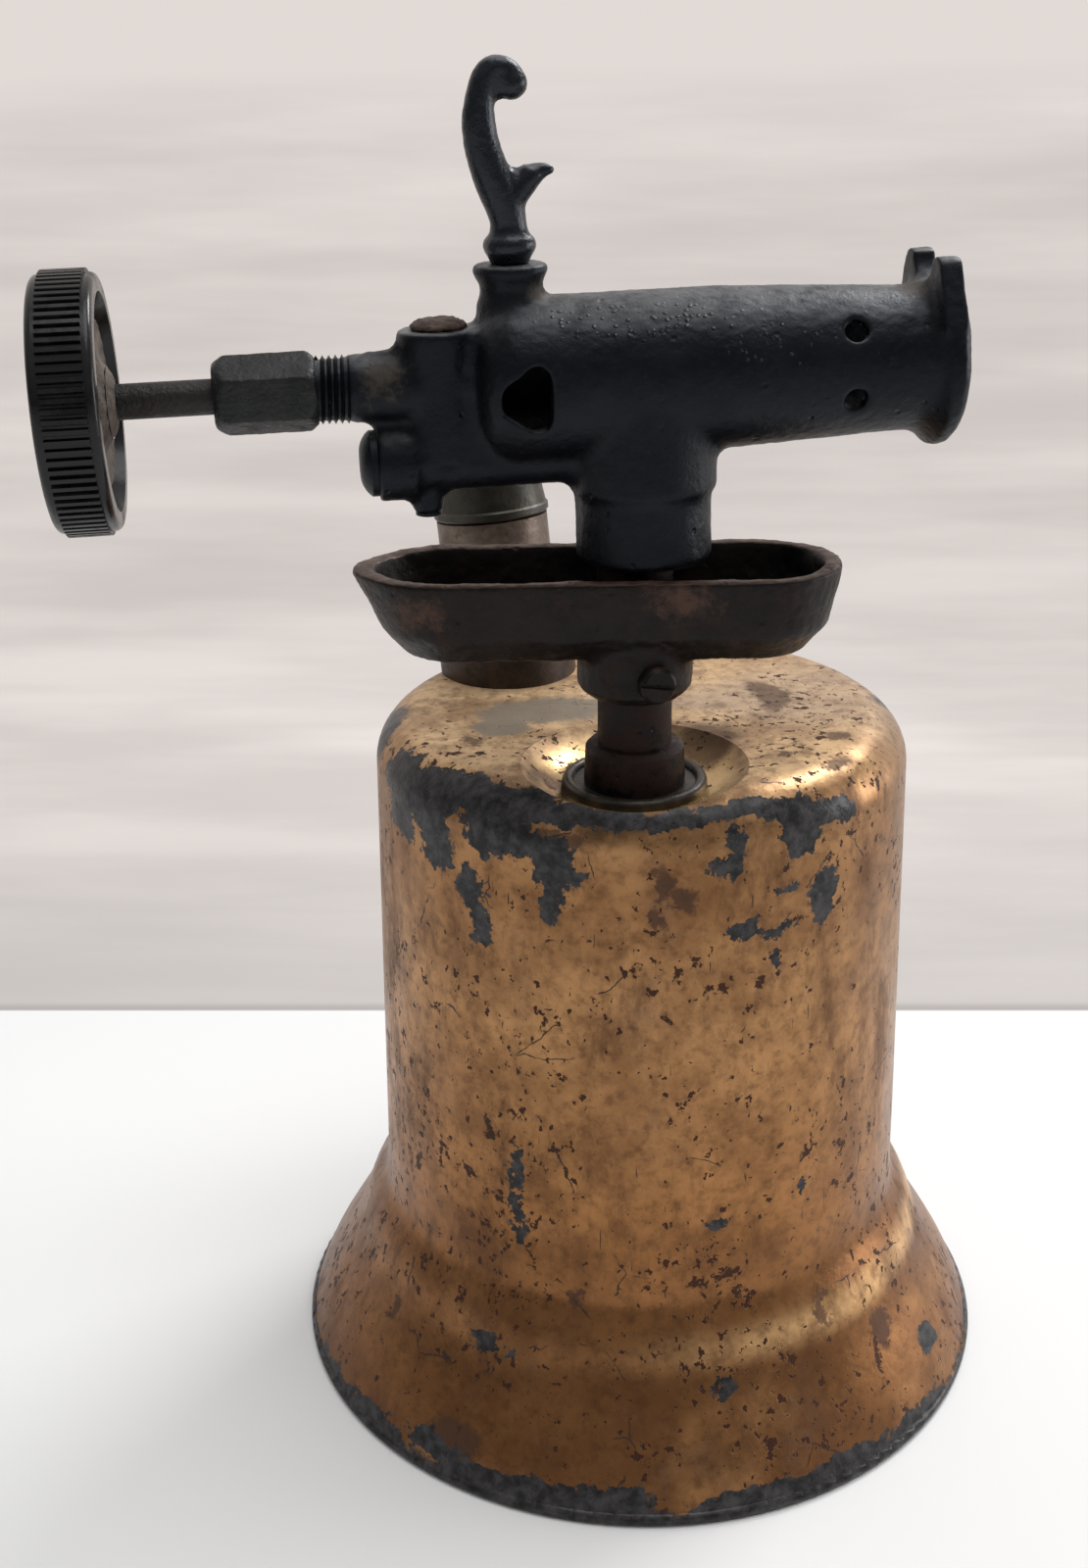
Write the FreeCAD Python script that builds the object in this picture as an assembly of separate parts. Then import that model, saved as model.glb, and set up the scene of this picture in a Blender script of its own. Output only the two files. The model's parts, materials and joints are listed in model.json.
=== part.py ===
import FreeCAD, Part
import math
import os

# A gasoline blowtorch: a bell-shaped tank, a burner head carried on a riser above it,
# a priming cup round the riser, and an air pump leaning out of the back of the tank.
# Millimetres. The origin is on the table under the tank's axis, +X runs along the
# burner towards its mouth, +Y points to the back and +Z is up.

os.makedirs("parts", exist_ok=True)
V = FreeCAD.Vector
X_AXIS = V(1, 0, 0)
Z_AXIS = V(0, 0, 1)

# Fits
RUNNING_FIT = 0.05      # radial room round a shaft that turns or slides
LOOSE_FIT = 0.4         # room between pieces that never rub
CUP_TO_HEAD = 0.7       # gap between the cup's rim and the head's column
SPARE = 5.0             # how far a cutter runs past what it cuts

# Tank
BASE_R = 75.5           # outside of the rolled rim
RIM_ROLL_R = 1.5        # radius of the rolled edge itself
RIM_FLAT = 0.3          # depth of the flat that the rolled edge stands on
TANK_H = 144.5          # flat top above the table
TANK_TOP_R = 54.0       # wall radius just under the shoulder
SHOULDER_R = 9.5        # rounding between wall and top
WAIST_R = 55.9          # wall radius where the flare starts
FLARE_Z = 41.5          # height where the flare starts
STEP_R = 63.2           # radius of the crease between the flare's two swells
STEP_Z = 23.8           # height of that crease
CREASE = 2.4            # half the height over which each crease is rounded
SWELL = 0.8             # how far each swell bulges past a straight cone
SHEET = 1.0             # sheet thickness of the tank
FLARE_OUT = 0.88        # outward and upward shares of the flare's surface normal
FLARE_UP = 0.47

# Tank bottom and its filler
BOTTOM_EDGE_Z = 13.0    # height of the bottom sheet at its rim
BOTTOM_RISE = 9.0       # how far the bottom sheet is dished up at its middle
LIP_H = 7.0             # turned-down edge of the bottom sheet
FILLER_BORE_R = 9.0
FILLER_BUSH_R = 14.0
FILLER_BUSH_H = 9.0
FILLER_STAND = 2.0      # how far the bush stands above the bottom sheet
FILLER_HEAD_R = 12.5
FILLER_HEAD_H = 3.0
FILLER_HEX_AF = 14.0
FILLER_HEX_H = 3.5
FILLER_CHAMFER = 0.8
GASKET_H = 1.5
GASKET_SETBACK = 0.5    # how far the gasket's edge lies inside the plug's head

# Riser
RISER_X = -6.8
RISER_Y = -31.1
RISER_R = 6.9
RISER_BORE_R = 3.5
DISH_R = 21.5           # pressed dish round the riser, at the top
DISH_FLOOR_R = 15.0
DISH_DEPTH = 4.4
BUSHING_R = 11.0        # part of the riser bushing inside the tank
BUSHING_FLANGE_R = 13.7
BUSHING_FLANGE_H = 0.9
BUSHING_DROP = 8.0      # length of the bushing under the dish floor
BEAD_RING_R = 12.6      # raised bead on the bushing flange
BEAD_RING_SECTION = 1.1
COLLAR_R = 9.2
COLLAR_H = 8.0
COLLAR_FLARE = 0.3      # how much wider the collar is at its foot
COLLAR_FOOT_H = 1.5
COLLAR_CHAMFER = 1.0
RISER_SEAT = 1.0        # thickness of the collar's floor under the riser
SPIGOT_SHORT = 1.0      # how much shorter a spigot is than its hole
COLLAR_SPIGOT_R = 7.9
FEED_R = 3.2
FEED_WALL = 0.8
FEED_END_Z = 27.0       # open lower end of the feed tube

# Priming cup, lengths from the riser axis
CUP_RISE = 39.0         # rim above the tank's top
CUP_DEPTH = 16.0
CUP_FRONT_END = 37.4
CUP_REAR_END = -51.2
CUP_REAR_TIP = 1.5      # half width of the blunt rear end
CUP_HALF_WIDTH = 15.2
CUP_TURN = -7.0         # degrees the cup is turned round the riser
CUP_LEAN = 2.2          # how far the wall leans in above the turn of its bottom
CUP_TURN_IN = 6.5       # how far the bottom's edge lies inside the rim
CUP_TURN_H = 5.0        # height of the turn between wall and bottom
CUP_RAKE = 3.0          # how much further the rear end leans in than the sides
CUP_WALL = 3.2
CUP_HUB_R = 10.8
CUP_HUB_H = 8.5         # hub under the cup's bottom
CUP_HUB_CHAMFER = 1.8
SET_SCREW_UP = 4.6      # set screw above the hub's lower end
SET_SCREW_TURN = 10.0   # degrees round the hub from straight ahead
SET_SCREW_R = 2.2
SET_SCREW_HEAD_R = 3.4
SET_SCREW_HEAD_H = 2.0
SET_SCREW_CHAMFER = 0.6
SLOT_W = 1.0
SLOT_DEPTH = 0.9

# Burner head, lengths along X from the riser axis and heights from the burner's axis
AXIS_RISE = 33.7        # common axis of the burner tube and the valve, above the cup's rim
HEAD_TILT = 1.0         # degrees the head is tipped up towards its mouth
TUBE_REAR_R = 13.9
TUBE_FRONT_R = 12.5
TUBE_FRONT_END = 50.0
TUBE_REAR_END = -28.0
REAR_ROUND = 7.0        # rounding of the tube's closed rear end
TUBE_BORE_R = 10.4
BORE_REAR_END = -26.0
FLANGE_R = 15.4
FLANGE_FACE = 55.4
FLANGE_ROUND = 1.4
FLANGE_SWEEP = 3.0      # length over which the tube sweeps out into the flange
EAR_TOP_R = 19.4        # tips of the flange's two ears, measured from the axis
EAR_ANGLE = 25.0        # degrees from straight up to each ear
EAR_TIP_R = 2.7         # rounding of each tip
EAR_T = 4.2
NOTCH_HALF_WIDTH = 5.0
NOTCH_FLOOR_R = 13.0
COLUMN_X = 1.0
COLUMN_R = 13.1
COLUMN_FOOT_R = 12.1    # narrower lower end of the column
COLUMN_FOOT_H = 12.3
COLUMN_CHAMFER = 1.0
SOCKET_DEPTH = 12.0
PASSAGE_DROP = 13.0     # lower fuel passage, along X under the axis
PASSAGE_R = 5.3
PASSAGE_END = -45.6
PASSAGE_BORE_R = 1.9
END_HUB_R = 6.6         # hub round the passage's rear end
END_HUB_L = 6.6
REAR_POST_X = -34.0     # upright passage at the back of the head
REAR_POST_R = 6.3
REAR_POST_TOP = -0.7    # where the post starts to widen into the plug boss
PLUG_BOSS_TOP = 9.3
PLUG_BOSS_RIM_R = 7.1
PLUG_BOSS_RIM_H = 1.4
PLUG_BOSS_CHAMFER = 0.5
BOTTOM_BOSS_X = -37.2
BOTTOM_BOSS_R = 2.8
BOTTOM_BOSS_DROP = 9.0  # lower end of the bottom boss, under the passage's middle
VALVE_BOSS_R = 5.8
VALVE_BOSS_END = -49.2
NIPPLE_R = 5.2
NIPPLE_END = -62.0
PACKING_R = 4.3
PACKING_DEPTH = 6.0
WEB_REACH = 6.0         # how far the web runs forward into the tube
HOOK_BOSS_X = -21.2
HOOK_BOSS_TOP = 19.4
HOOK_BOSS_RIM_R = 6.5
HOOK_BOSS_RIM_H = 1.2
HOOK_BOSS_WAIST_R = 5.0
HOOK_BOSS_WAIST = 15.6
HOOK_BOSS_ROOT_R = 6.0
HOOK_BOSS_ROOT = 12.6
HOOK_SPIGOT_R = 2.4
HOOK_SPIGOT_L = 6.0
HOOK_FOOT_R = 3.4
HOOK_RING_R = 4.5       # ring round the hook's foot
HOOK_FOOT_H = 5.5
HOOK_BALL_R = 2.6
AIR_HOLE_TIP = -24.6
AIR_HOLE_BACK = -16.5
AIR_HOLE_TOP = 4.7
AIR_HOLE_BOTTOM = -7.8
AIR_HOLE_BLUNT = 4.0    # height of the blunt rear tip
AIR_HOLE_ROUND = 1.3
FLAME_HOLE_X = 36.0
FLAME_HOLE_R = 2.2
FLAME_HOLE_ANGLES = (33.0, -22.0)

# Hook's bar and horn: (forward, up, radius, slope in degrees) of circles along their middle lines,
# from the middle of the hook's seat
HOOK_BAR = (
    (0.0, 5.5, 3.0, 90), (-0.4, 8.5, 3.2, 104), (-2.2, 13.5, 3.3, 112),
    (-3.9, 19.0, 3.0, 102), (-4.3, 24.0, 2.7, 88), (-3.3, 28.2, 2.4, 62),
    (-0.9, 30.6, 2.2, 15), (1.0, 29.7, 2.1, -55), (1.4, 28.2, 2.0, -85))
HOOK_HORN = ((-0.6, 9.0, 2.9, 68), (2.2, 12.2, 2.4, 46), (4.6, 14.6, 2.0, 52))

# Valve
STEM_R = 3.0
NEEDLE_R = 1.4
NEEDLE_START = -40.0
NEEDLE_TIP = -29.4
JET_R = 3.4
JET_REAR = -29.0
JET_FRONT = -23.6
JET_NOSE_R = 2.2
ORIFICE_R = 0.4
NUT_REAR = -72.4
NUT_FRONT = -54.8
NUT_AF = 12.0
NUT_TURN = 20.0         # degrees the nut came to rest at
NUT_CHAMFER = 1.6
NUT_WALL = 5.0          # end wall of the packing nut
PLUG_HEAD_R = 5.7
PLUG_HEAD_H = 1.2
PLUG_DOME_H = 1.8
DOME_FLAT_R = 1.0       # flat at the top of each domed plug
PLUG_SHANK_R = 3.6
PLUG_SHANK_L = 4.0
TOP_PLUG_R = 4.9
TOP_PLUG_HEAD_H = 0.6
TOP_PLUG_DOME_H = 1.1
BOTTOM_PLUG_R = 2.3
BOTTOM_PLUG_HEAD_H = 0.5
BOTTOM_PLUG_DOME_H = 0.3

# Control knob
KNOB_R = 22.0
KNOB_INNER_FACE = -89.5
KNOB_T = 10.6
KNOB_BAND = 1.7         # smooth band at each edge
KNOB_RIBS = 84
KNOB_RIB_DEPTH = 0.7
KNOB_ROUND = 1.1
KNOB_RECESS_R = 17.4
KNOB_RECESS = 3.6
KNOB_DRAFT = 1.0        # how far the recess widens towards its mouth
KNOB_HUB_R = 6.0
HUB_PLATE_R = 14.0
HUB_PLATE_T = 1.2
KNOB_SCREW_R = 1.6
KNOB_SCREW_HEAD_R = 4.6
KNOB_SCREW_HEAD_H = 2.4
KNOB_SCREW_DEPTH = 5.0

# Pump, heights along its own axis from the tank top
PUMP_X = -23.6
PUMP_Y = 28.5
PUMP_AXIS = V(-0.075, 0.10, 1.0)
PUMP_FLANGE_R = 14.5
PUMP_FLANGE_TOP = 6.5
PUMP_FLANGE_BOTTOM = -5.0
PUMP_FLANGE_CHAMFER = 1.5
PUMP_R = 11.7
PUMP_WALL = 1.0
PUMP_TOP = 31.5
PUMP_BOTTOM = -98.0
GUIDE_DEPTH = 5.0
GUIDE_LIP = 1.5
ROD_R = 2.5
ROD_TAIL = 1.0          # end of the rod past its nut
CAP_R = 10.8            # under the rounded top; the cap widens down to its ridge
CAP_RIDGE_R = 12.1
CAP_RIDGE_H = 2.0
CAP_H = 12.5
CAP_ROUND = 4.0
CAP_CHAMFER = 0.4
LEATHER_Z = -78.0       # top of the leather cup, plunger down
LEATHER_H = 9.0
LEATHER_T = 1.6
WASHER_R = 8.0
WASHER_T = 1.5
ROD_NUT_AF = 8.0
ROD_NUT_H = 4.0
CHECK_BODY_H = 5.0
CHECK_NIPPLE_R = 6.0
CHECK_NIPPLE_H = 9.0
CHECK_BORE_R = 1.6
CHECK_CHAMBER_R = 3.4
CHECK_CAP_H = 2.0
BALL_R = 2.8
CHECK_SHOULDER = 1.5    # lip of the check valve's body under the barrel
CHECK_SEAT = 0.8        # height of the cone that the ball lifts to
CHECK_LIFT = 0.6
VENT_R = 1.0

# Sizes that follow from those above
CUP_RIM_Z = TANK_H + CUP_RISE
CUP_FLOOR_Z = CUP_RIM_Z - CUP_DEPTH
CUP_HUB_Z = CUP_FLOOR_Z - CUP_HUB_H
AXIS_Z = CUP_RIM_Z + AXIS_RISE
COLUMN_Z = CUP_RIM_Z + CUP_TO_HEAD
PASSAGE_Z = AXIS_Z - PASSAGE_DROP
PLUG_BOSS_Z = AXIS_Z + PLUG_BOSS_TOP
BOTTOM_BOSS_Z = PASSAGE_Z - BOTTOM_BOSS_DROP
HOOK_SEAT_Z = AXIS_Z + HOOK_BOSS_TOP
PUMP_AT = V(PUMP_X, PUMP_Y, TANK_H)
DISH_FLOOR_Z = TANK_H - DISH_DEPTH
COLLAR_Z = DISH_FLOOR_Z + BUSHING_FLANGE_H
RISER_FOOT_Z = COLLAR_Z + RISER_SEAT
SOCKET_TOP_Z = COLUMN_Z + SOCKET_DEPTH
PUMP_DIRECTION = V(PUMP_AXIS).normalize()
PUMP_BORE_R = PUMP_R - PUMP_WALL
GUIDE_TOP = PUMP_TOP + GUIDE_LIP
KNOB_OUTER_FACE = KNOB_INNER_FACE - KNOB_T


# Shared helpers

def outline(points):
    """Closed wire through (u, v) points in the XZ plane. A pair of points is an arc: its middle and end."""
    edges = []
    start = V(points[0][0], 0, points[0][1])
    first = start
    for point in points[1:]:
        if isinstance(point[0], tuple):
            middle = V(point[0][0], 0, point[0][1])
            end = V(point[1][0], 0, point[1][1])
            edges.append(Part.Arc(start, middle, end).toShape())
        else:
            end = V(point[0], 0, point[1])
            edges.append(Part.makeLine(start, end))
        start = end
    if (start - first).Length > 1e-6:
        edges.append(Part.makeLine(start, first))
    return Part.Wire(edges)


def turned(points):
    """Solid of revolution about Z from (radius, height) points."""
    return Part.Face(outline(points)).revolve(V(0, 0, 0), Z_AXIS, 360)


def aimed(shape, base, axis):
    """Copy of a shape made along +Z, standing at base along axis."""
    placed = shape.copy()
    placed.Placement = FreeCAD.Placement(base, FreeCAD.Rotation(Z_AXIS, axis))
    return placed


def along_x(shape, height=AXIS_Z):
    """A shape made along +Z, laid along +X at the given height in the burner's frame."""
    return aimed(shape, V(0, 0, height), X_AXIS)


def rod_x(radius, start, end, height=AXIS_Z):
    return Part.makeCylinder(radius, end - start, V(start, 0, height), X_AXIS)


def post_z(radius, start, end, x=0.0):
    return Part.makeCylinder(radius, end - start, V(x, 0, start), Z_AXIS)


def hexagon(across_flats, start, length):
    """Hexagonal prism along +Z."""
    corner = across_flats / math.sqrt(3)
    turns = [math.radians(60 * i) for i in range(7)]
    corners = [V(corner * math.cos(turn), corner * math.sin(turn), start) for turn in turns]
    return Part.Face(Part.makePolygon(corners)).extrude(V(0, 0, length))


def on_riser(shape):
    """Move a shape from the burner's frame, with the riser at its origin, to the torch's frame."""
    moved = shape.copy()
    moved.translate(V(RISER_X, RISER_Y, 0))
    return moved


def on_head(shape):
    """Tip a shape made on the level head about the riser, then move it to the torch's frame."""
    tipped = shape.copy()
    tipped.rotate(V(0, 0, AXIS_Z), V(0, 1, 0), -HEAD_TILT)
    return on_riser(tipped)


def on_pump(shape):
    return aimed(shape, PUMP_AT, PUMP_DIRECTION)


def save(node, shape):
    solid = shape.removeSplitter()
    if solid.ShapeType != "Solid":
        solid = solid.Solids[0]
    solid.exportStep("parts/" + node + ".step")
    print(node, round(solid.Volume, 1), len(solid.Faces), "faces", "ok" if solid.isValid() else "NOT VALID")


# Tank

def tank_skin(inset):
    """Points down the tank's sheet from the top's middle to the rim, moved inwards by inset."""
    flat_r = TANK_TOP_R - SHOULDER_R
    shoulder_z = TANK_H - SHOULDER_R
    diagonal = (SHOULDER_R - inset) * math.sqrt(0.5)
    rim_r = BASE_R - 0.4 * RIM_ROLL_R
    upper_slope = (STEP_R - WAIST_R) / (FLARE_Z - CREASE - STEP_Z)
    lower_slope = (rim_r - STEP_R) / (STEP_Z - RIM_ROLL_R)

    def flared(r, z):
        return (r - FLARE_OUT * inset, z - FLARE_UP * inset)

    def swell_middle(start, end):
        return ((start[0] + end[0]) / 2 + FLARE_OUT * SWELL, (start[1] + end[1]) / 2 + FLARE_UP * SWELL)

    upper_start = flared(WAIST_R + upper_slope * CREASE, FLARE_Z - 2 * CREASE)
    upper_end = flared(STEP_R - upper_slope * CREASE, STEP_Z + CREASE)
    lower_start = flared(STEP_R + lower_slope * CREASE, STEP_Z - CREASE)
    rim = flared(rim_r, RIM_ROLL_R)
    return [
        (0, TANK_H - inset), (flat_r, TANK_H - inset),
        ((flat_r + diagonal, shoulder_z + diagonal), (TANK_TOP_R - inset, shoulder_z)),
        (WAIST_R - inset, FLARE_Z),
        (flared(WAIST_R + 0.3 * upper_slope * CREASE, FLARE_Z - 1.1 * CREASE), upper_start),
        (swell_middle(upper_start, upper_end), upper_end),
        (flared(STEP_R + 0.3, STEP_Z), lower_start),
        (swell_middle(lower_start, rim), rim),
    ]


def tank_volume(inset):
    """Everything inside the tank's skin, moved inwards by inset."""
    skin = tank_skin(inset)
    rim_r, rim_z = skin[-1][1]
    low = rim_z - RIM_ROLL_R
    return turned(skin + [(rim_r, low), (0, low)])


def riser_dish(grow):
    """Space pressed out of the tank top round the riser, made larger by grow."""
    top = TANK_H + SPARE
    lift = DISH_DEPTH / 2
    middle = ((DISH_R + DISH_FLOOR_R) / 2 + grow + 0.6, DISH_FLOOR_Z - grow + lift)
    return on_riser(turned([
        (0, DISH_FLOOR_Z - grow), (DISH_FLOOR_R + grow, DISH_FLOOR_Z - grow),
        (middle, (DISH_R + grow, TANK_H - grow)), (DISH_R + grow, top), (0, top)]))


def make_tank_shell():
    shell = tank_volume(0).cut(tank_volume(SHEET)).cut(riser_dish(0))
    dish = riser_dish(SHEET).cut(riser_dish(0)).common(tank_volume(0))
    shell = shell.fuse(dish)
    shell = shell.cut(on_riser(post_z(BUSHING_R, DISH_FLOOR_Z - SPARE, TANK_H)))
    shell = shell.cut(on_pump(post_z(PUMP_FLANGE_R, PUMP_FLANGE_BOTTOM - SPARE, PUMP_FLANGE_TOP)))
    rim_z = RIM_ROLL_R - RIM_FLAT
    rim = Part.makeTorus(BASE_R - RIM_ROLL_R, RIM_ROLL_R, V(0, 0, rim_z), Z_AXIS)
    shell = shell.cut(post_z(2 * BASE_R, -RIM_ROLL_R, rim_z)).fuse(rim)
    return shell.cut(post_z(2 * BASE_R, -RIM_ROLL_R, 0))


def make_tank_bottom():
    reach = BASE_R + SPARE
    middle_z = BOTTOM_EDGE_Z + BOTTOM_RISE
    sheet = turned([
        (FILLER_BUSH_R, middle_z), (FILLER_BUSH_R, middle_z + SHEET),
        (TANK_TOP_R, BOTTOM_EDGE_Z + SHEET), (reach, BOTTOM_EDGE_Z + SHEET),
        (reach, BOTTOM_EDGE_Z), (TANK_TOP_R, BOTTOM_EDGE_Z)])
    space = tank_volume(SHEET)
    band = post_z(reach, BOTTOM_EDGE_Z - LIP_H, BOTTOM_EDGE_Z + SHEET)
    lip = space.common(band).cut(tank_volume(2 * SHEET))
    return sheet.common(space).fuse(lip)


def filler_seat_z():
    """Lower face of the filler bush, which the gasket seals against."""
    return BOTTOM_EDGE_Z + BOTTOM_RISE + SHEET + FILLER_STAND - FILLER_BUSH_H


def make_filler_bush():
    low = filler_seat_z()
    top = low + FILLER_BUSH_H
    return post_z(FILLER_BUSH_R, low, top).cut(post_z(FILLER_BORE_R, low, top))


def make_filler_gasket():
    top = filler_seat_z()
    low = top - GASKET_H
    return post_z(FILLER_HEAD_R - GASKET_SETBACK, low, top).cut(post_z(FILLER_BORE_R, low, top))


def make_filler_plug():
    head_top = filler_seat_z() - GASKET_H
    head_low = head_top - FILLER_HEAD_H
    shank_r = FILLER_BORE_R - RUNNING_FIT
    shank_top = filler_seat_z() + FILLER_BUSH_H - SHEET
    body = turned([
        (0, head_low), (FILLER_HEAD_R - FILLER_CHAMFER, head_low), (FILLER_HEAD_R, head_low + FILLER_CHAMFER),
        (FILLER_HEAD_R, head_top), (shank_r, head_top), (shank_r, shank_top), (0, shank_top)])
    return body.fuse(hexagon(FILLER_HEX_AF, head_low - FILLER_HEX_H, FILLER_HEX_H))


# Riser and priming cup

def make_riser_bushing():
    low = DISH_FLOOR_Z - BUSHING_DROP
    body = turned([
        (COLLAR_SPIGOT_R, low), (BUSHING_R, low), (BUSHING_R, DISH_FLOOR_Z),
        (BUSHING_FLANGE_R, DISH_FLOOR_Z), (BUSHING_FLANGE_R, COLLAR_Z), (COLLAR_SPIGOT_R, COLLAR_Z)])
    bead = Part.makeTorus(BEAD_RING_R, BEAD_RING_SECTION, V(0, 0, COLLAR_Z), Z_AXIS)
    low_half = post_z(BUSHING_FLANGE_R + SPARE, DISH_FLOOR_Z - SPARE, DISH_FLOOR_Z)
    return on_riser(body.fuse(bead.cut(low_half)))


def make_riser_collar():
    low = DISH_FLOOR_Z - BUSHING_DROP + SPIGOT_SHORT
    top = COLLAR_Z + COLLAR_H
    foot_r = COLLAR_R + COLLAR_FLARE
    body = turned([
        (FEED_R, low), (COLLAR_SPIGOT_R, low), (COLLAR_SPIGOT_R, COLLAR_Z), (foot_r, COLLAR_Z),
        (foot_r, COLLAR_Z + COLLAR_FOOT_H), (COLLAR_R, top - COLLAR_CHAMFER),
        (COLLAR_R - COLLAR_CHAMFER, top), (RISER_R, top),
        (RISER_R, RISER_FOOT_Z), (FEED_R, RISER_FOOT_Z)])
    return on_riser(body)


def make_riser_tube():
    tube = post_z(RISER_R, RISER_FOOT_Z, SOCKET_TOP_Z - SPIGOT_SHORT)
    return on_riser(tube.cut(post_z(RISER_BORE_R, RISER_FOOT_Z, SOCKET_TOP_Z)))


def make_feed_tube():
    top = RISER_FOOT_Z
    tube = post_z(FEED_R, FEED_END_Z, top)
    return on_riser(tube.cut(post_z(FEED_R - FEED_WALL, FEED_END_Z, top)))


def cup_outline(inset, rake, z):
    """Plan of the priming cup at height z: round in front, drawn out to a blunt end at the rear."""
    width = CUP_HALF_WIDTH - inset
    front = CUP_FRONT_END - inset
    rear = CUP_REAR_END + inset + rake
    front_start = CUP_FRONT_END - CUP_HALF_WIDTH
    rear_start = CUP_REAR_END + 1.4 * CUP_HALF_WIDTH
    rear_width = 0.95 * width
    bend_x = rear + 0.30 * (rear_start - rear)
    bend_y = 0.70 * width
    tip = CUP_REAR_TIP
    edges = [
        Part.makeLine(V(rear_start, -rear_width, z), V(front_start, -width, z)),
        Part.Arc(V(front_start, -width, z), V(front, 0, z), V(front_start, width, z)).toShape(),
        Part.makeLine(V(front_start, width, z), V(rear_start, rear_width, z)),
        Part.Arc(V(rear_start, rear_width, z), V(bend_x, bend_y, z), V(rear, tip, z)).toShape(),
        Part.makeLine(V(rear, tip, z), V(rear, -tip, z)),
        Part.Arc(V(rear, -tip, z), V(bend_x, -bend_y, z), V(rear_start, -rear_width, z)).toShape(),
    ]
    return Part.Wire(edges)


def set_screw_frame(shape):
    """Aim a shape made along +Z out of the cup hub at the set screw's place."""
    turn = math.radians(SET_SCREW_TURN)
    return aimed(shape, V(0, 0, CUP_HUB_Z + SET_SCREW_UP), V(math.sin(turn), -math.cos(turn), 0))


def cup_pan():
    """The open pan: a wall that leans in to a turned bottom, and the hollow inside it."""
    turn_z = CUP_FLOOR_Z + CUP_TURN_H
    floor_top = CUP_FLOOR_Z + CUP_WALL
    lean_rate = CUP_LEAN / (CUP_RIM_Z - turn_z)
    outer = Part.makeLoft([
        cup_outline(CUP_TURN_IN, CUP_RAKE, CUP_FLOOR_Z), cup_outline(CUP_LEAN, CUP_RAKE, turn_z),
        cup_outline(0, 0, CUP_RIM_Z)], True, True)
    inner = Part.makeLoft([
        cup_outline(CUP_TURN_IN, CUP_RAKE, floor_top), cup_outline(CUP_LEAN + CUP_WALL, CUP_RAKE, turn_z),
        cup_outline(CUP_WALL - lean_rate * SPARE, 0, CUP_RIM_Z + SPARE)], True, True)
    pan = outer.cut(inner)
    pan.rotate(V(0, 0, 0), Z_AXIS, CUP_TURN)
    return pan


def make_priming_cup():
    hub_top = CUP_FLOOR_Z + CUP_WALL / 2
    hub = turned([
        (0, CUP_HUB_Z), (CUP_HUB_R - CUP_HUB_CHAMFER, CUP_HUB_Z),
        (CUP_HUB_R, CUP_HUB_Z + CUP_HUB_CHAMFER), (CUP_HUB_R, hub_top), (0, hub_top)])
    cup = cup_pan().fuse(hub)
    cup = cup.cut(post_z(RISER_R, CUP_HUB_Z - SPARE, CUP_RIM_Z))
    cup = cup.cut(set_screw_frame(post_z(SET_SCREW_R, RISER_R / 2, CUP_HUB_R + SPARE)))
    return on_riser(cup)


def make_cup_set_screw():
    seat = CUP_HUB_R
    top = seat + SET_SCREW_HEAD_H
    screw = turned([
        (0, RISER_R), (SET_SCREW_R, RISER_R), (SET_SCREW_R, seat), (SET_SCREW_HEAD_R, seat),
        (SET_SCREW_HEAD_R, top - SET_SCREW_CHAMFER), (SET_SCREW_HEAD_R - SET_SCREW_CHAMFER, top), (0, top)])
    slot = Part.makeBox(2 * SET_SCREW_HEAD_R, SLOT_W, SLOT_DEPTH,
                        V(-SET_SCREW_HEAD_R, -SLOT_W / 2, top - SLOT_DEPTH))
    return on_riser(set_screw_frame(screw.cut(slot)))


# Burner head

def burner_tube():
    """Outside of the mixing tube with its rounded rear end and its flange."""
    sweep_start = TUBE_FRONT_END - FLANGE_SWEEP
    end = TUBE_REAR_END
    curve = REAR_ROUND * (1 - math.sqrt(0.5))
    crest_r = FLANGE_R - FLANGE_ROUND / 2
    crest = TUBE_FRONT_END + FLANGE_SWEEP / 2
    return along_x(turned([
        (0, end), (TUBE_REAR_R - REAR_ROUND, end),
        ((TUBE_REAR_R - curve, end + curve), (TUBE_REAR_R, end + REAR_ROUND)),
        (TUBE_REAR_R, COLUMN_X + COLUMN_R), (TUBE_FRONT_R, sweep_start),
        ((TUBE_FRONT_R + FLANGE_ROUND / 2, TUBE_FRONT_END), (crest_r, crest)),
        (FLANGE_R, crest + FLANGE_ROUND / 2), (FLANGE_R, FLANGE_FACE - FLANGE_ROUND),
        (FLANGE_R - FLANGE_ROUND, FLANGE_FACE), (0, FLANGE_FACE)]))


def flange_ear(angle):
    """Round-topped ear whose sides run down tangent to the flange, turned by angle from straight up."""
    tip_middle = EAR_TOP_R - EAR_TIP_R
    lean = math.acos((FLANGE_R - EAR_TIP_R) / tip_middle)
    out = V(math.sin(lean), 0, math.cos(lean))
    low = (FLANGE_R * out.x, FLANGE_R * out.z)
    high = (EAR_TIP_R * out.x, tip_middle + EAR_TIP_R * out.z)
    plate = Part.Face(outline([
        (0, 0), low, high, ((0, EAR_TOP_R), (-high[0], high[1])), (-low[0], low[1])]))
    ear = plate.extrude(V(0, EAR_T, 0))
    ear.rotate(V(0, 0, 0), Z_AXIS, -90)
    ear.translate(V(FLANGE_FACE - FLANGE_ROUND / 2 - EAR_T, 0, AXIS_Z))
    ear.rotate(V(0, 0, AXIS_Z), X_AXIS, angle)
    return ear


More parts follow.
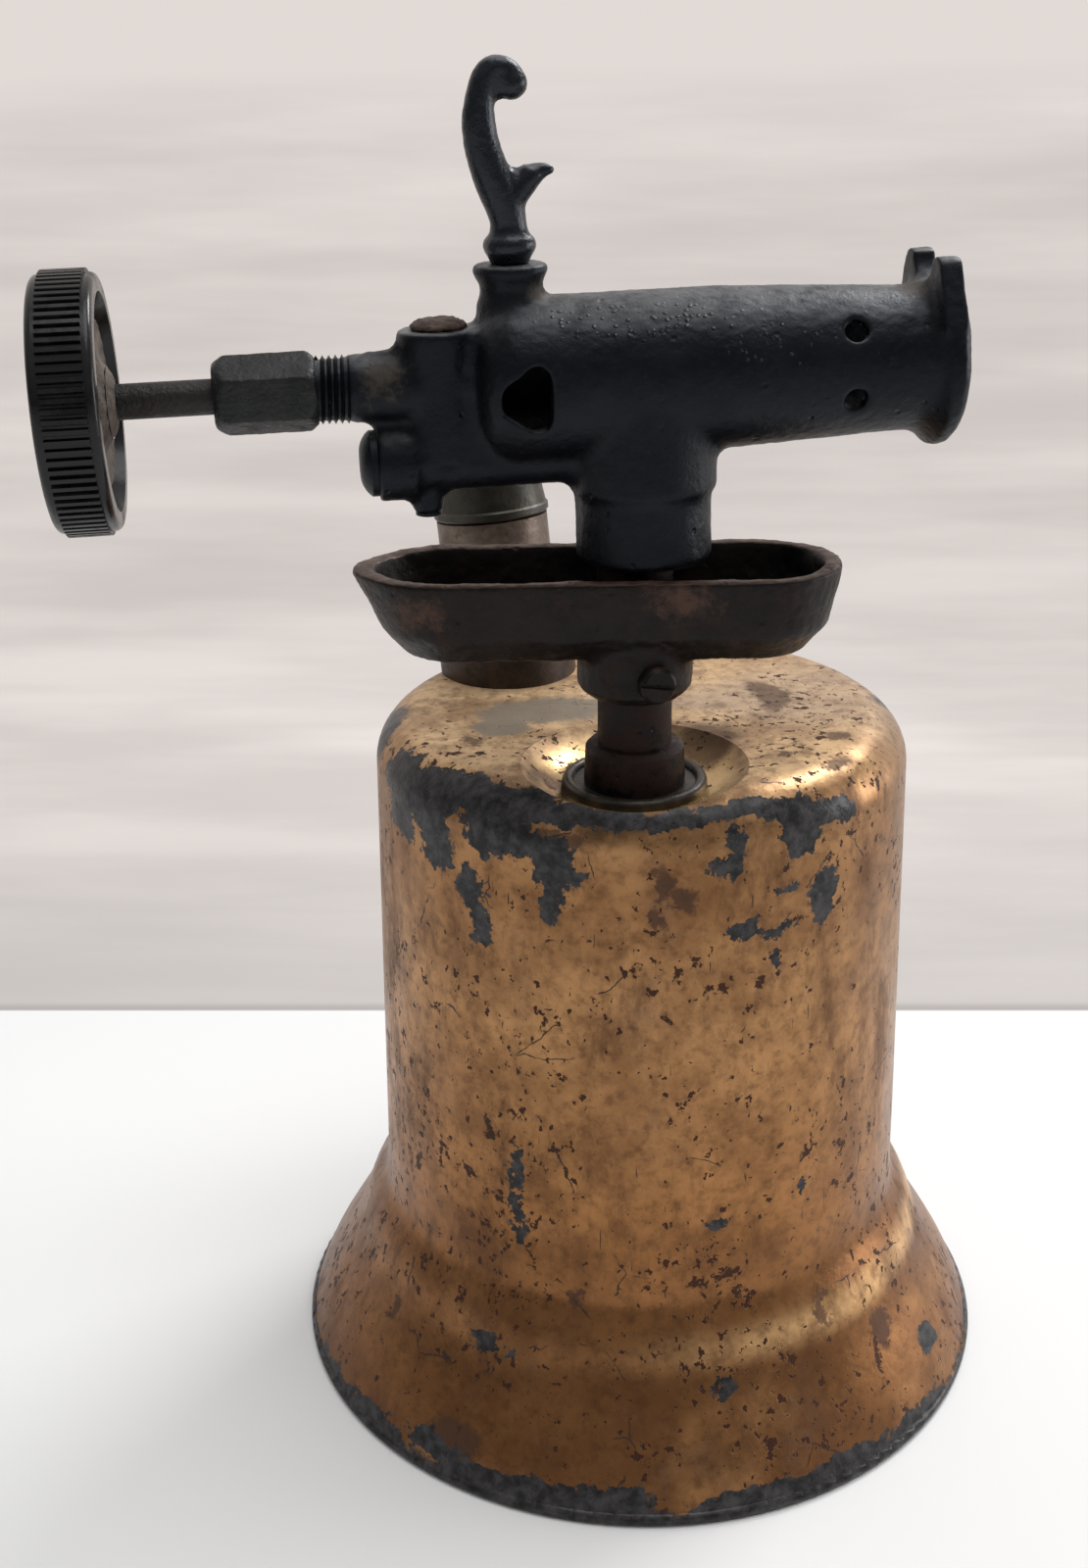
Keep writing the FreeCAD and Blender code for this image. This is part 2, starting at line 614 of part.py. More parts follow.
def ear_notch():
    """Round-floored gap between the ears, down to the tube's own skin."""
    floor = AXIS_Z + NOTCH_FLOOR_R + NOTCH_HALF_WIDTH
    start = TUBE_FRONT_END - FLANGE_SWEEP
    length = FLANGE_FACE - start + SPARE
    round_floor = Part.makeCylinder(NOTCH_HALF_WIDTH, length, V(start, 0, floor), X_AXIS)
    above = Part.makeBox(length, 2 * NOTCH_HALF_WIDTH, EAR_TOP_R, V(start, -NOTCH_HALF_WIDTH, floor))
    return round_floor.fuse(above)


def air_hole():
    """Rounded triangle through the near side of the tube, its blunt tip to the rear."""
    depth = TUBE_REAR_R + SPARE
    blunt = AIR_HOLE_BLUNT / 2
    middle = (AIR_HOLE_TOP + AIR_HOLE_BOTTOM) / 2
    places = [
        (AIR_HOLE_TIP, middle - blunt), (AIR_HOLE_TIP, middle + blunt),
        (AIR_HOLE_BACK - blunt, AIR_HOLE_TOP), (AIR_HOLE_BACK, AIR_HOLE_TOP - blunt),
        (AIR_HOLE_BACK, AIR_HOLE_BOTTOM + blunt), (AIR_HOLE_BACK - blunt, AIR_HOLE_BOTTOM)]
    corners = [V(x, -depth, AXIS_Z + z) for x, z in places]
    prism = Part.Face(Part.makePolygon(corners + corners[:1])).extrude(V(0, depth, 0))
    sides = [e for e in prism.Edges if abs(e.Vertexes[0].Y - e.Vertexes[1].Y) > depth / 2]
    return prism.makeFillet(AIR_HOLE_ROUND, sides)


def flame_holes():
    """Small round holes low and high on each side near the mouth."""
    holes = []
    for side in (-1, 1):
        for angle in FLAME_HOLE_ANGLES:
            turn = math.radians(angle)
            out = V(0, side * math.cos(turn), math.sin(turn))
            start = V(FLAME_HOLE_X, 0, AXIS_Z) + out * (TUBE_BORE_R / 2)
            holes.append(Part.makeCylinder(FLAME_HOLE_R, TUBE_REAR_R, start, out))
    return holes[0].multiFuse(holes[1:])


def rear_post():
    """Upright passage at the back, which widens into the boss of the top plug."""
    post = turned([
        (0, PASSAGE_Z), (REAR_POST_R, PASSAGE_Z), (REAR_POST_R, AXIS_Z + REAR_POST_TOP),
        (PLUG_BOSS_RIM_R, PLUG_BOSS_Z - PLUG_BOSS_RIM_H), (PLUG_BOSS_RIM_R, PLUG_BOSS_Z - PLUG_BOSS_CHAMFER),
        (PLUG_BOSS_RIM_R - PLUG_BOSS_CHAMFER, PLUG_BOSS_Z), (0, PLUG_BOSS_Z)])
    post.translate(V(REAR_POST_X, 0, 0))
    return post


def hook_boss():
    boss = turned([
        (0, AXIS_Z), (HOOK_BOSS_ROOT_R, AXIS_Z), (HOOK_BOSS_ROOT_R, AXIS_Z + HOOK_BOSS_ROOT),
        (HOOK_BOSS_WAIST_R, AXIS_Z + HOOK_BOSS_WAIST), (HOOK_BOSS_RIM_R, HOOK_SEAT_Z - HOOK_BOSS_RIM_H),
        (HOOK_BOSS_RIM_R - HOOK_BOSS_RIM_H / 3, HOOK_SEAT_Z), (0, HOOK_SEAT_Z)])
    boss.translate(V(HOOK_BOSS_X, 0, 0))
    return boss


def rear_fittings():
    """Upright passage, plug bosses, valve boss and hook boss at the back of the head."""
    valve_boss = rod_x(VALVE_BOSS_R, VALVE_BOSS_END, TUBE_REAR_END + WEB_REACH)
    nipple = rod_x(NIPPLE_R, NIPPLE_END, VALVE_BOSS_END)
    passage = rod_x(PASSAGE_R, PASSAGE_END, COLUMN_X, PASSAGE_Z)
    end_hub = rod_x(END_HUB_R, PASSAGE_END, PASSAGE_END + END_HUB_L, PASSAGE_Z)
    web = Part.makeBox(TUBE_REAR_END + WEB_REACH - REAR_POST_X, 2 * PASSAGE_R, AXIS_Z - PASSAGE_Z,
                       V(REAR_POST_X, -PASSAGE_R, PASSAGE_Z))
    bottom = post_z(BOTTOM_BOSS_R, BOTTOM_BOSS_Z, PASSAGE_Z, BOTTOM_BOSS_X)
    return rear_post().multiFuse([valve_boss, nipple, passage, end_hub, web, bottom, hook_boss()])


def head_passages():
    """Everything drilled in the head: fuel passages, valve chamber and plug holes."""
    stem_bore = STEM_R + RUNNING_FIT
    return post_z(PASSAGE_BORE_R, COLUMN_Z, PASSAGE_Z).multiFuse([
        rod_x(PASSAGE_BORE_R, PASSAGE_END, 0, PASSAGE_Z),
        rod_x(PLUG_SHANK_R, PASSAGE_END, PASSAGE_END + PLUG_SHANK_L, PASSAGE_Z),
        post_z(PASSAGE_BORE_R, PASSAGE_Z, PLUG_BOSS_Z, REAR_POST_X),
        post_z(PLUG_SHANK_R, PLUG_BOSS_Z - PLUG_SHANK_L, PLUG_BOSS_Z, REAR_POST_X),
        post_z(PASSAGE_BORE_R, BOTTOM_BOSS_Z, PASSAGE_Z, BOTTOM_BOSS_X),
        rod_x(stem_bore, NIPPLE_END, JET_REAR),
        rod_x(PACKING_R, NIPPLE_END, NIPPLE_END + PACKING_DEPTH),
        rod_x(JET_R, JET_REAR, BORE_REAR_END),
        post_z(HOOK_SPIGOT_R, HOOK_SEAT_Z - HOOK_SPIGOT_L, HOOK_SEAT_Z, HOOK_BOSS_X)])


def head_column():
    step_z = COLUMN_Z + COLUMN_FOOT_H
    column = turned([
        (0, COLUMN_Z), (COLUMN_FOOT_R - COLUMN_CHAMFER, COLUMN_Z), (COLUMN_FOOT_R, COLUMN_Z + COLUMN_CHAMFER),
        (COLUMN_FOOT_R, step_z), (COLUMN_R, step_z + COLUMN_CHAMFER), (COLUMN_R, AXIS_Z), (0, AXIS_Z)])
    column.translate(V(COLUMN_X, 0, 0))
    return column


def make_burner_body():
    body = burner_tube().multiFuse([
        head_column(), rear_fittings(), flange_ear(EAR_ANGLE), flange_ear(-EAR_ANGLE)])
    body = body.cut(ear_notch())
    body = body.cut(rod_x(TUBE_BORE_R, BORE_REAR_END, FLANGE_FACE + SPARE))
    body = body.cut(air_hole())
    body = body.cut(flame_holes())
    body = body.cut(head_passages())
    socket = on_riser(post_z(RISER_R, COLUMN_Z - SPARE, SOCKET_TOP_Z))
    return on_head(body).cut(socket)


def hook_circle(forward, up, radius, slope):
    """Circle square to the hook's bar, from the middle of the hook's seat."""
    turn = math.radians(slope)
    middle = V(HOOK_BOSS_X + forward, 0, HOOK_SEAT_Z + up)
    return Part.Wire(Part.makeCircle(radius, middle, V(math.cos(turn), 0, math.sin(turn))))


def make_soldering_hook():
    seat = HOOK_SEAT_Z
    neck_r = HOOK_BAR[0][2]
    ring_low = seat + 0.2 * HOOK_FOOT_H
    ring_top = seat + 0.85 * HOOK_FOOT_H
    foot = turned([
        (0, seat - HOOK_SPIGOT_L), (HOOK_SPIGOT_R, seat - HOOK_SPIGOT_L), (HOOK_SPIGOT_R, seat),
        (HOOK_FOOT_R, seat), (HOOK_FOOT_R, ring_low),
        ((HOOK_RING_R, (ring_low + ring_top) / 2), (HOOK_FOOT_R, ring_top)),
        (neck_r, seat + HOOK_FOOT_H), (0, seat + HOOK_FOOT_H)])
    foot.translate(V(HOOK_BOSS_X, 0, 0))
    bar = Part.makeLoft([hook_circle(*station) for station in HOOK_BAR], True, False)
    horn = Part.makeLoft([hook_circle(*station) for station in HOOK_HORN], True, False)
    end_forward, end_up = HOOK_BAR[-1][:2]
    ball = Part.makeSphere(HOOK_BALL_R, V(HOOK_BOSS_X + end_forward, 0, seat + end_up))
    return on_head(foot.multiFuse([bar, ball, horn]))


# Valve

def make_jet():
    nose = along_x(turned([
        (ORIFICE_R, JET_REAR + 1.5), (ORIFICE_R, JET_FRONT), (JET_NOSE_R - 0.8, JET_FRONT),
        (JET_NOSE_R, JET_FRONT - 1.0), (JET_NOSE_R, BORE_REAR_END), (JET_R, BORE_REAR_END),
        (JET_R, JET_REAR), (NEEDLE_R + LOOSE_FIT, JET_REAR)]))
    return on_head(nose)


def make_valve_stem():
    shank_end = KNOB_OUTER_FACE + KNOB_SCREW_HEAD_H
    hole_depth = KNOB_SCREW_DEPTH
    stem = along_x(turned([
        (0, shank_end + hole_depth), (KNOB_SCREW_R, shank_end + hole_depth), (KNOB_SCREW_R, shank_end),
        (STEM_R, shank_end), (STEM_R, NEEDLE_START), (NEEDLE_R, NEEDLE_START + 1.2),
        (NEEDLE_R, NEEDLE_TIP - 2.0), (0.2, NEEDLE_TIP), (0, NEEDLE_TIP)]))
    return on_head(stem)


def make_packing_nut():
    length = NUT_FRONT - NUT_REAR
    corner = NUT_AF / math.sqrt(3)
    cone = turned([
        (0, 0), (corner - NUT_CHAMFER, 0), (corner, 1.4 * NUT_CHAMFER), (corner, length - NUT_CHAMFER),
        (corner - NUT_CHAMFER, length), (0, length)])
    nut = hexagon(NUT_AF, 0, length).common(cone)
    nut = nut.cut(post_z(NIPPLE_R, NUT_WALL, length))
    nut = nut.cut(post_z(STEM_R + RUNNING_FIT, -SPARE, length))
    nut.rotate(V(0, 0, 0), Z_AXIS, NUT_TURN)
    return on_head(aimed(nut, V(NUT_REAR, 0, AXIS_Z), X_AXIS))


def make_packing_follower():
    start = NUT_REAR + NUT_WALL
    neck = NIPPLE_END + PACKING_DEPTH / 2
    stem_bore = STEM_R + RUNNING_FIT
    follower = along_x(turned([
        (stem_bore, start), (NIPPLE_R - 0.1, start), (NIPPLE_R - 0.1, NIPPLE_END), (PACKING_R, NIPPLE_END),
        (PACKING_R, neck), (stem_bore, neck)]))
    return on_head(follower)


def make_valve_packing():
    start = NIPPLE_END + PACKING_DEPTH / 2
    length = PACKING_DEPTH / 2
    ring = rod_x(PACKING_R, start, start + length).cut(rod_x(STEM_R + RUNNING_FIT, start, start + length))
    return on_head(ring)


def cleanout_plug(head_r, head_h, dome_h, shank_r, shank_l):
    """Domed plug made along +Z, with its head's underside at zero."""
    return turned([
        (0, -shank_l), (shank_r, -shank_l), (shank_r, 0), (head_r, 0), (head_r, head_h),
        ((0.75 * head_r, head_h + 0.7 * dome_h), (DOME_FLAT_R, head_h + dome_h)), (0, head_h + dome_h)])


def make_end_plug():
    plug = cleanout_plug(PLUG_HEAD_R, PLUG_HEAD_H, PLUG_DOME_H, PLUG_SHANK_R, PLUG_SHANK_L)
    return on_head(aimed(plug, V(PASSAGE_END, 0, PASSAGE_Z), V(-1, 0, 0)))


def make_top_plug():
    plug = cleanout_plug(TOP_PLUG_R, TOP_PLUG_HEAD_H, TOP_PLUG_DOME_H, PLUG_SHANK_R, PLUG_SHANK_L)
    return on_head(aimed(plug, V(REAR_POST_X, 0, PLUG_BOSS_Z), Z_AXIS))


def make_bottom_plug():
    plug = cleanout_plug(BOTTOM_PLUG_R, BOTTOM_PLUG_HEAD_H, BOTTOM_PLUG_DOME_H, PASSAGE_BORE_R, PLUG_SHANK_L)
    return on_head(aimed(plug, V(BOTTOM_BOSS_X, 0, BOTTOM_BOSS_Z), V(0, 0, -1)))


# Control knob

def knob_ribs(length):
    """Ring of straight ribs along +Z."""
    points = []
    for i in range(KNOB_RIBS):
        for share, radius in ((0.0, KNOB_R), (0.45, KNOB_R), (0.6, KNOB_R - KNOB_RIB_DEPTH),
                              (0.85, KNOB_R - KNOB_RIB_DEPTH)):
            turn = 2 * math.pi * (i + share) / KNOB_RIBS
            points.append(V(radius * math.cos(turn), radius * math.sin(turn), 0))
    return Part.Face(Part.makePolygon(points + points[:1])).extrude(V(0, 0, length))


def make_control_knob():
    band_r = KNOB_R - KNOB_RIB_DEPTH
    curve = 0.3 * KNOB_ROUND
    core = turned([
        (0, 0), (band_r - KNOB_ROUND, 0), ((band_r - curve, curve), (band_r, KNOB_ROUND)),
        (band_r, KNOB_T - KNOB_ROUND),
        ((band_r - curve, KNOB_T - curve), (band_r - KNOB_ROUND, KNOB_T)), (0, KNOB_T)])
    ribs = knob_ribs(KNOB_T - 2 * KNOB_BAND)
    ribs.translate(V(0, 0, KNOB_BAND))
    knob = core.fuse(ribs)
    recess = turned([
        (KNOB_HUB_R, KNOB_T + KNOB_DRAFT), (KNOB_RECESS_R + KNOB_DRAFT, KNOB_T + KNOB_DRAFT),
        (KNOB_RECESS_R, KNOB_T - KNOB_RECESS), (KNOB_HUB_R, KNOB_T - KNOB_RECESS)])
    knob = knob.cut(recess)
    knob = knob.cut(post_z(STEM_R, KNOB_SCREW_HEAD_H, KNOB_T + SPARE))
    knob = knob.cut(post_z(KNOB_SCREW_HEAD_R, -SPARE, KNOB_SCREW_HEAD_H))
    return on_head(aimed(knob, V(KNOB_OUTER_FACE, 0, AXIS_Z), X_AXIS))


def make_knob_hub_plate():
    start = KNOB_INNER_FACE - KNOB_RECESS
    plate = rod_x(HUB_PLATE_R, start, start + HUB_PLATE_T)
    return on_head(plate.cut(rod_x(KNOB_HUB_R, start, start + HUB_PLATE_T)))


def make_knob_screw():
    face = KNOB_OUTER_FACE + LOOSE_FIT
    start = KNOB_OUTER_FACE + KNOB_SCREW_HEAD_H
    head = rod_x(KNOB_SCREW_HEAD_R, face, start)
    shank = rod_x(KNOB_SCREW_R, start, start + KNOB_SCREW_DEPTH)
    slot = Part.makeBox(SLOT_DEPTH, 2 * KNOB_SCREW_HEAD_R, SLOT_W,
                        V(face, -KNOB_SCREW_HEAD_R, AXIS_Z - SLOT_W / 2))
    return on_head(head.fuse(shank).cut(slot))


# Pump

def make_pump_flange():
    body = turned([
        (PUMP_R, PUMP_FLANGE_BOTTOM), (PUMP_FLANGE_R, PUMP_FLANGE_BOTTOM),
        (PUMP_FLANGE_R, PUMP_FLANGE_TOP - PUMP_FLANGE_CHAMFER),
        (PUMP_FLANGE_R - PUMP_FLANGE_CHAMFER, PUMP_FLANGE_TOP), (PUMP_R, PUMP_FLANGE_TOP)])
    return on_pump(body)


def make_pump_barrel():
    tube = post_z(PUMP_R, PUMP_BOTTOM, PUMP_TOP)
    return on_pump(tube.cut(post_z(PUMP_BORE_R, PUMP_BOTTOM, PUMP_TOP)))


def make_pump_guide():
    rod_bore = ROD_R + RUNNING_FIT
    low = PUMP_TOP - GUIDE_DEPTH
    body = turned([
        (rod_bore, low), (PUMP_BORE_R, low), (PUMP_BORE_R, PUMP_TOP),
        (PUMP_R, PUMP_TOP), (PUMP_R, GUIDE_TOP), (rod_bore, GUIDE_TOP)])
    return on_pump(body)


def make_plunger_cap():
    low = GUIDE_TOP + LOOSE_FIT
    top = low + CAP_H
    curve = CAP_ROUND * (1 - math.sqrt(0.5))
    body = turned([
        (0, low), (CAP_RIDGE_R - CAP_CHAMFER, low), (CAP_RIDGE_R, low + CAP_CHAMFER),
        (CAP_RIDGE_R, low + CAP_RIDGE_H - CAP_CHAMFER), (CAP_RIDGE_R - CAP_CHAMFER, low + CAP_RIDGE_H),
        (CAP_R, top - CAP_ROUND),
        ((CAP_R - curve, top - curve), (CAP_R - CAP_ROUND, top)), (0, top)])
    return on_pump(body.cut(post_z(ROD_R, low, low + CAP_H / 2)))


def make_plunger_rod():
    foot = LEATHER_Z - LEATHER_T - ROD_NUT_H - ROD_TAIL
    return on_pump(post_z(ROD_R, foot, GUIDE_TOP + LOOSE_FIT + CAP_H / 2))


def make_plunger_washer():
    top = LEATHER_Z + WASHER_T
    return on_pump(post_z(WASHER_R, LEATHER_Z, top).cut(post_z(ROD_R, LEATHER_Z, top)))


def make_plunger_leather():
    outside = PUMP_BORE_R - RUNNING_FIT
    inside = outside - LEATHER_T
    low = LEATHER_Z - LEATHER_H
    body = turned([
        (ROD_R, LEATHER_Z), (outside - 1.0, LEATHER_Z), (outside, LEATHER_Z - 1.0), (outside, low),
        (inside + 0.8, low), (inside, LEATHER_Z - LEATHER_T), (ROD_R, LEATHER_Z - LEATHER_T)])
    return on_pump(body)


def make_plunger_nut():
    low = LEATHER_Z - LEATHER_T - ROD_NUT_H
    return on_pump(hexagon(ROD_NUT_AF, low, ROD_NUT_H).cut(post_z(ROD_R, low, low + ROD_NUT_H)))


def check_chamber_z():
    """Floor of the check valve's ball chamber."""
    return PUMP_BOTTOM - CHECK_NIPPLE_H


def make_check_valve_body():
    floor = check_chamber_z()
    shoulder = PUMP_BOTTOM - CHECK_SHOULDER
    seat = floor + 2 * BALL_R + CHECK_LIFT
    body = turned([
        (CHECK_CHAMBER_R, floor), (CHECK_NIPPLE_R, floor), (CHECK_NIPPLE_R, shoulder), (PUMP_R, shoulder),
        (PUMP_R, PUMP_BOTTOM), (PUMP_BORE_R, PUMP_BOTTOM), (PUMP_BORE_R, PUMP_BOTTOM + CHECK_BODY_H),
        (CHECK_BORE_R, PUMP_BOTTOM + CHECK_BODY_H), (CHECK_BORE_R, seat),
        (CHECK_CHAMBER_R, seat + CHECK_SEAT)])
    vent = Part.makeCylinder(VENT_R, 4 * CHECK_NIPPLE_R, V(-2 * CHECK_NIPPLE_R, 0, floor + BALL_R), X_AXIS)
    return on_pump(body.cut(vent))


def make_check_valve_cap():
    floor = check_chamber_z()
    return on_pump(post_z(CHECK_NIPPLE_R, floor - CHECK_CAP_H, floor))


def make_check_valve_ball():
    return on_pump(Part.makeSphere(BALL_R, V(0, 0, check_chamber_z() + BALL_R + RUNNING_FIT)))


MAKERS = (
    make_tank_shell, make_tank_bottom, make_filler_bush, make_filler_gasket, make_filler_plug,
    make_riser_bushing, make_riser_collar, make_riser_tube, make_feed_tube,
    make_priming_cup, make_cup_set_screw,
    make_burner_body, make_soldering_hook, make_jet, make_end_plug, make_top_plug, make_bottom_plug,
    make_valve_stem, make_packing_nut, make_packing_follower, make_valve_packing,
    make_control_knob, make_knob_hub_plate, make_knob_screw,
    make_pump_flange, make_pump_barrel, make_pump_guide,
    make_plunger_cap, make_plunger_rod, make_plunger_washer, make_plunger_leather, make_plunger_nut,
    make_check_valve_body, make_check_valve_cap, make_check_valve_ball)

for make in MAKERS:
    save(make.__name__[len("make_"):], make())
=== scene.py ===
# %% [markdown]
# # A worn gasoline blowtorch
# The torch comes in as a fixed frame: every piece is already a solid of the right size in the
# right place. This lesson dresses that frame. It softens the castings, adds the small shapes
# that are too fine for a solid, paints every surface with nodes, and sets up a table, soft light
# and a camera.

# %% Load the frame
import json
import math

import bpy
from mathutils import Matrix, Vector

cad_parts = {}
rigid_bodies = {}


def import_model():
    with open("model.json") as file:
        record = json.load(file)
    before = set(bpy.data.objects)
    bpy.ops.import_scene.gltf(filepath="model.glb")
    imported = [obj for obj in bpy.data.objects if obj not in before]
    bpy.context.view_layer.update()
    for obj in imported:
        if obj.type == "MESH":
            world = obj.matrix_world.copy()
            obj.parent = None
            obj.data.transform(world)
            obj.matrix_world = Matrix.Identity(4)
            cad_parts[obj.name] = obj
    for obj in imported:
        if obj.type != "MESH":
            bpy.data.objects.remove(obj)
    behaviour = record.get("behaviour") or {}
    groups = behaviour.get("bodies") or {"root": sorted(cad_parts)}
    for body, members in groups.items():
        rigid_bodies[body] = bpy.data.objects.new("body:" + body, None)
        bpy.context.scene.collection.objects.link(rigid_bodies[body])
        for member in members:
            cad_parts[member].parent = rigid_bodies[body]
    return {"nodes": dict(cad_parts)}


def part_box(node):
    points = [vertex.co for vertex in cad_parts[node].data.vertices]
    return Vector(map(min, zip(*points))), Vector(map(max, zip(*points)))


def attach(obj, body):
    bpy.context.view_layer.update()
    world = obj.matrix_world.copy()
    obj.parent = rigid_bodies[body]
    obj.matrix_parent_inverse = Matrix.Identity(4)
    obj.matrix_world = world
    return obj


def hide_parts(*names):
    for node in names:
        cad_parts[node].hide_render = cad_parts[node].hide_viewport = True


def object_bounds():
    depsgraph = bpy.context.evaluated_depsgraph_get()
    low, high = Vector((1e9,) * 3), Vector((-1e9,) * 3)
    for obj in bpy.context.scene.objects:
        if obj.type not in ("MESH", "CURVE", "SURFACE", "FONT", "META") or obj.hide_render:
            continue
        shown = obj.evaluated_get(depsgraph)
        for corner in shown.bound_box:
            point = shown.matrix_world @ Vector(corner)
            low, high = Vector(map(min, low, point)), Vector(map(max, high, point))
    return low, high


for leftover in list(bpy.data.objects):
    bpy.data.objects.remove(leftover)
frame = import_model()
cad_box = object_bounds()
nodes = frame["nodes"]
MM = 0.001
cad_sides = [round(side / MM, 1) for side in cad_box[1] - cad_box[0]]
print("frame:", len(nodes), "solids, box", cad_sides, "mm")

# %% [markdown]
# ## The camera
# The photo was taken from close by and a little above the torch, so upright lines lean together
# towards the table, and the tank's top shows as a slim oval. A camera set just as close leans them
# the same way. A long lens from far away would be easier to aim, but would flatten the picture.

# %% Camera
CAMERA_AT = (-0.0654, -0.3491, 0.2736)
LENS_MM = 42.418
SENSOR_MM = 36.0
TURN_DEG, DOWN_DEG, ROLL_DEG = -7.41, 22.42, -0.95

camera_data = bpy.data.cameras.new("photo_camera")
camera_data.sensor_width = SENSOR_MM
camera_data.lens = LENS_MM
camera = bpy.data.objects.new("photo_camera", camera_data)
bpy.context.scene.collection.objects.link(camera)
heading = Matrix.Rotation(math.radians(TURN_DEG), 4, "Z")
tilt = Matrix.Rotation(math.radians(90 - DOWN_DEG), 4, "X")
roll = Matrix.Rotation(math.radians(ROLL_DEG), 4, "Z")
camera.matrix_world = Matrix.Translation(CAMERA_AT) @ heading @ tilt @ roll
bpy.context.scene.camera = camera
bpy.context.scene.view_settings.view_transform = "Standard"
print("camera", [round(c, 3) for c in camera.location], "lens", camera_data.lens)

# %% [markdown]
# ## A helper for finishes
# Each finish below is a small tree of nodes. Adding and wiring nodes one by one fills pages, so
# a class keeps the wiring in one place. It is built up in three short cells: sums, then patterns,
# then colours and relief. A value may be a plain number or another node's output. Sizes are given
# in millimetres, because that is how a grain or a scratch is measured.

# %% Sums of nodes
class Wiring:
    def __init__(self, name):
        self.material = bpy.data.materials.new(name)
        self.material.use_nodes = True
        self.tree = self.material.node_tree
        self.shader = self.tree.nodes["Principled BSDF"]
        self.place = self.add("ShaderNodeTexCoord").outputs["Object"]

    def add(self, kind, **settings):
        """A new node with these settings."""
        node = self.tree.nodes.new(kind)
        for name, value in settings.items():
            setattr(node, name, value)
        return node

    def put(self, socket, value):
        """Wires a value to a socket if it is an output, and sets it there if it is a number."""
        if isinstance(value, bpy.types.NodeSocket):
            self.tree.links.new(value, socket)
        elif socket.type == "RGBA":
            socket.default_value = (*value, 1.0)
        else:
            socket.default_value = value

    def math(self, operation, a, b=0.0):
        node = self.add("ShaderNodeMath", operation=operation)
        self.put(node.inputs[0], a)
        self.put(node.inputs[1], b)
        return node.outputs[0]

    def times(self, a, b):
        return self.math("MULTIPLY", a, b)

    def plus(self, a, b):
        return self.math("ADD", a, b)

    def minus(self, a, b):
        return self.math("SUBTRACT", a, b)

    def larger(self, a, b):
        return self.math("MAXIMUM", a, b)

    def radius(self, x, y):
        """How far a place is from the upright axis."""
        return self.math("SQRT", self.plus(self.times(x, x), self.times(y, y)))

    def split(self, vector):
        """The three numbers of a vector."""
        node = self.add("ShaderNodeSeparateXYZ")
        self.put(node.inputs[0], vector)
        return node.outputs[0], node.outputs[1], node.outputs[2]


print("wiring helper:", Wiring.__name__)

# %% Patterns
class Patterns(Wiring):
    def stretched(self, scale, shift=(0.0, 0.0, 0.0)):
        """The place with its pattern scaled along each axis and shifted."""
        node = self.add("ShaderNodeMapping")
        self.put(node.inputs["Vector"], self.place)
        node.inputs["Scale"].default_value = scale
        node.inputs["Location"].default_value = shift
        return node.outputs[0]

    def noise_node(self, size, detail, rough, place=None):
        """A node of cloudy noise, which gives both a number and a colour."""
        node = self.add("ShaderNodeTexNoise")
        self.put(node.inputs["Vector"], place or self.place)
        node.inputs["Scale"].default_value = 1.0 / (size * MM)
        node.inputs["Detail"].default_value = detail
        node.inputs["Roughness"].default_value = rough
        return node

    def noise(self, size, detail=3.0, rough=0.5, place=None):
        """Cloudy noise from 0 to 1, with clouds of about this size."""
        return self.noise_node(size, detail, rough, place).outputs["Fac"]

    def cells(self, size, place=None, feature="F1"):
        """How far a point is from the middle or edge of its cell, and the cell's own random colour."""
        node = self.add("ShaderNodeTexVoronoi", feature=feature)
        self.put(node.inputs["Vector"], place or self.place)
        node.inputs["Scale"].default_value = 1.0 / (size * MM)
        return node.outputs["Distance"], node.outputs.get("Color")

    def pushed(self, start, reach, size, detail=3.0, rough=0.5):
        """The start, pushed about by noise, up to reach along each axis."""
        noise = self.noise_node(size, detail, rough)
        push = self.add("ShaderNodeVectorMath", operation="MULTIPLY_ADD")
        self.put(push.inputs[0], noise.outputs["Color"])
        push.inputs[1].default_value = reach
        self.put(push.inputs[2], start)
        return push.outputs[0]

    def wobbled(self, size, amount):
        """The place, pushed about by noise, so that round marks get ragged outlines."""
        return self.pushed(self.place, (amount * MM,) * 3, size)

    def mask(self, value, low, high):
        """0 where the value is under low, 1 over high, smooth between; low may be the larger."""
        node = self.add("ShaderNodeMapRange", interpolation_type="SMOOTHSTEP")
        self.put(node.inputs["Value"], value)
        node.inputs["From Min"].default_value = low
        node.inputs["From Max"].default_value = high
        return node.outputs["Result"]

    def between(self, share, a, b):
        """A number that goes from a to b while the share goes from 0 to 1."""
        node = self.add("ShaderNodeMapRange")
        self.put(node.inputs["Value"], share)
        node.inputs["To Min"].default_value = a
        node.inputs["To Max"].default_value = b
        return node.outputs["Result"]

    def depth_in(self, spots, place=None, unit=MM):
        """1 in the middle of the nearest spot, 0 on its edge; a spot is (centre, half sizes)."""
        nearest = None
        for centre, half in spots:
            node = self.add("ShaderNodeMapping")
            self.put(node.inputs["Vector"], place or self.place)
            node.inputs["Scale"].default_value = [1.0 / (h * unit) for h in half]
            node.inputs["Location"].default_value = [-c / h for c, h in zip(centre, half)]
            length = self.add("ShaderNodeVectorMath", operation="LENGTH")
            self.put(length.inputs[0], node.outputs[0])
            away = length.outputs["Value"]
            nearest = away if nearest is None else self.math("MINIMUM", nearest, away)
        return self.minus(1.0, nearest)

    def facing_up(self):
        """1 where a face looks straight up, 0 where it stands upright."""
        return self.split(self.add("ShaderNodeNewGeometry").outputs["Normal"])[2]


print("pattern helper:", Patterns.__name__)

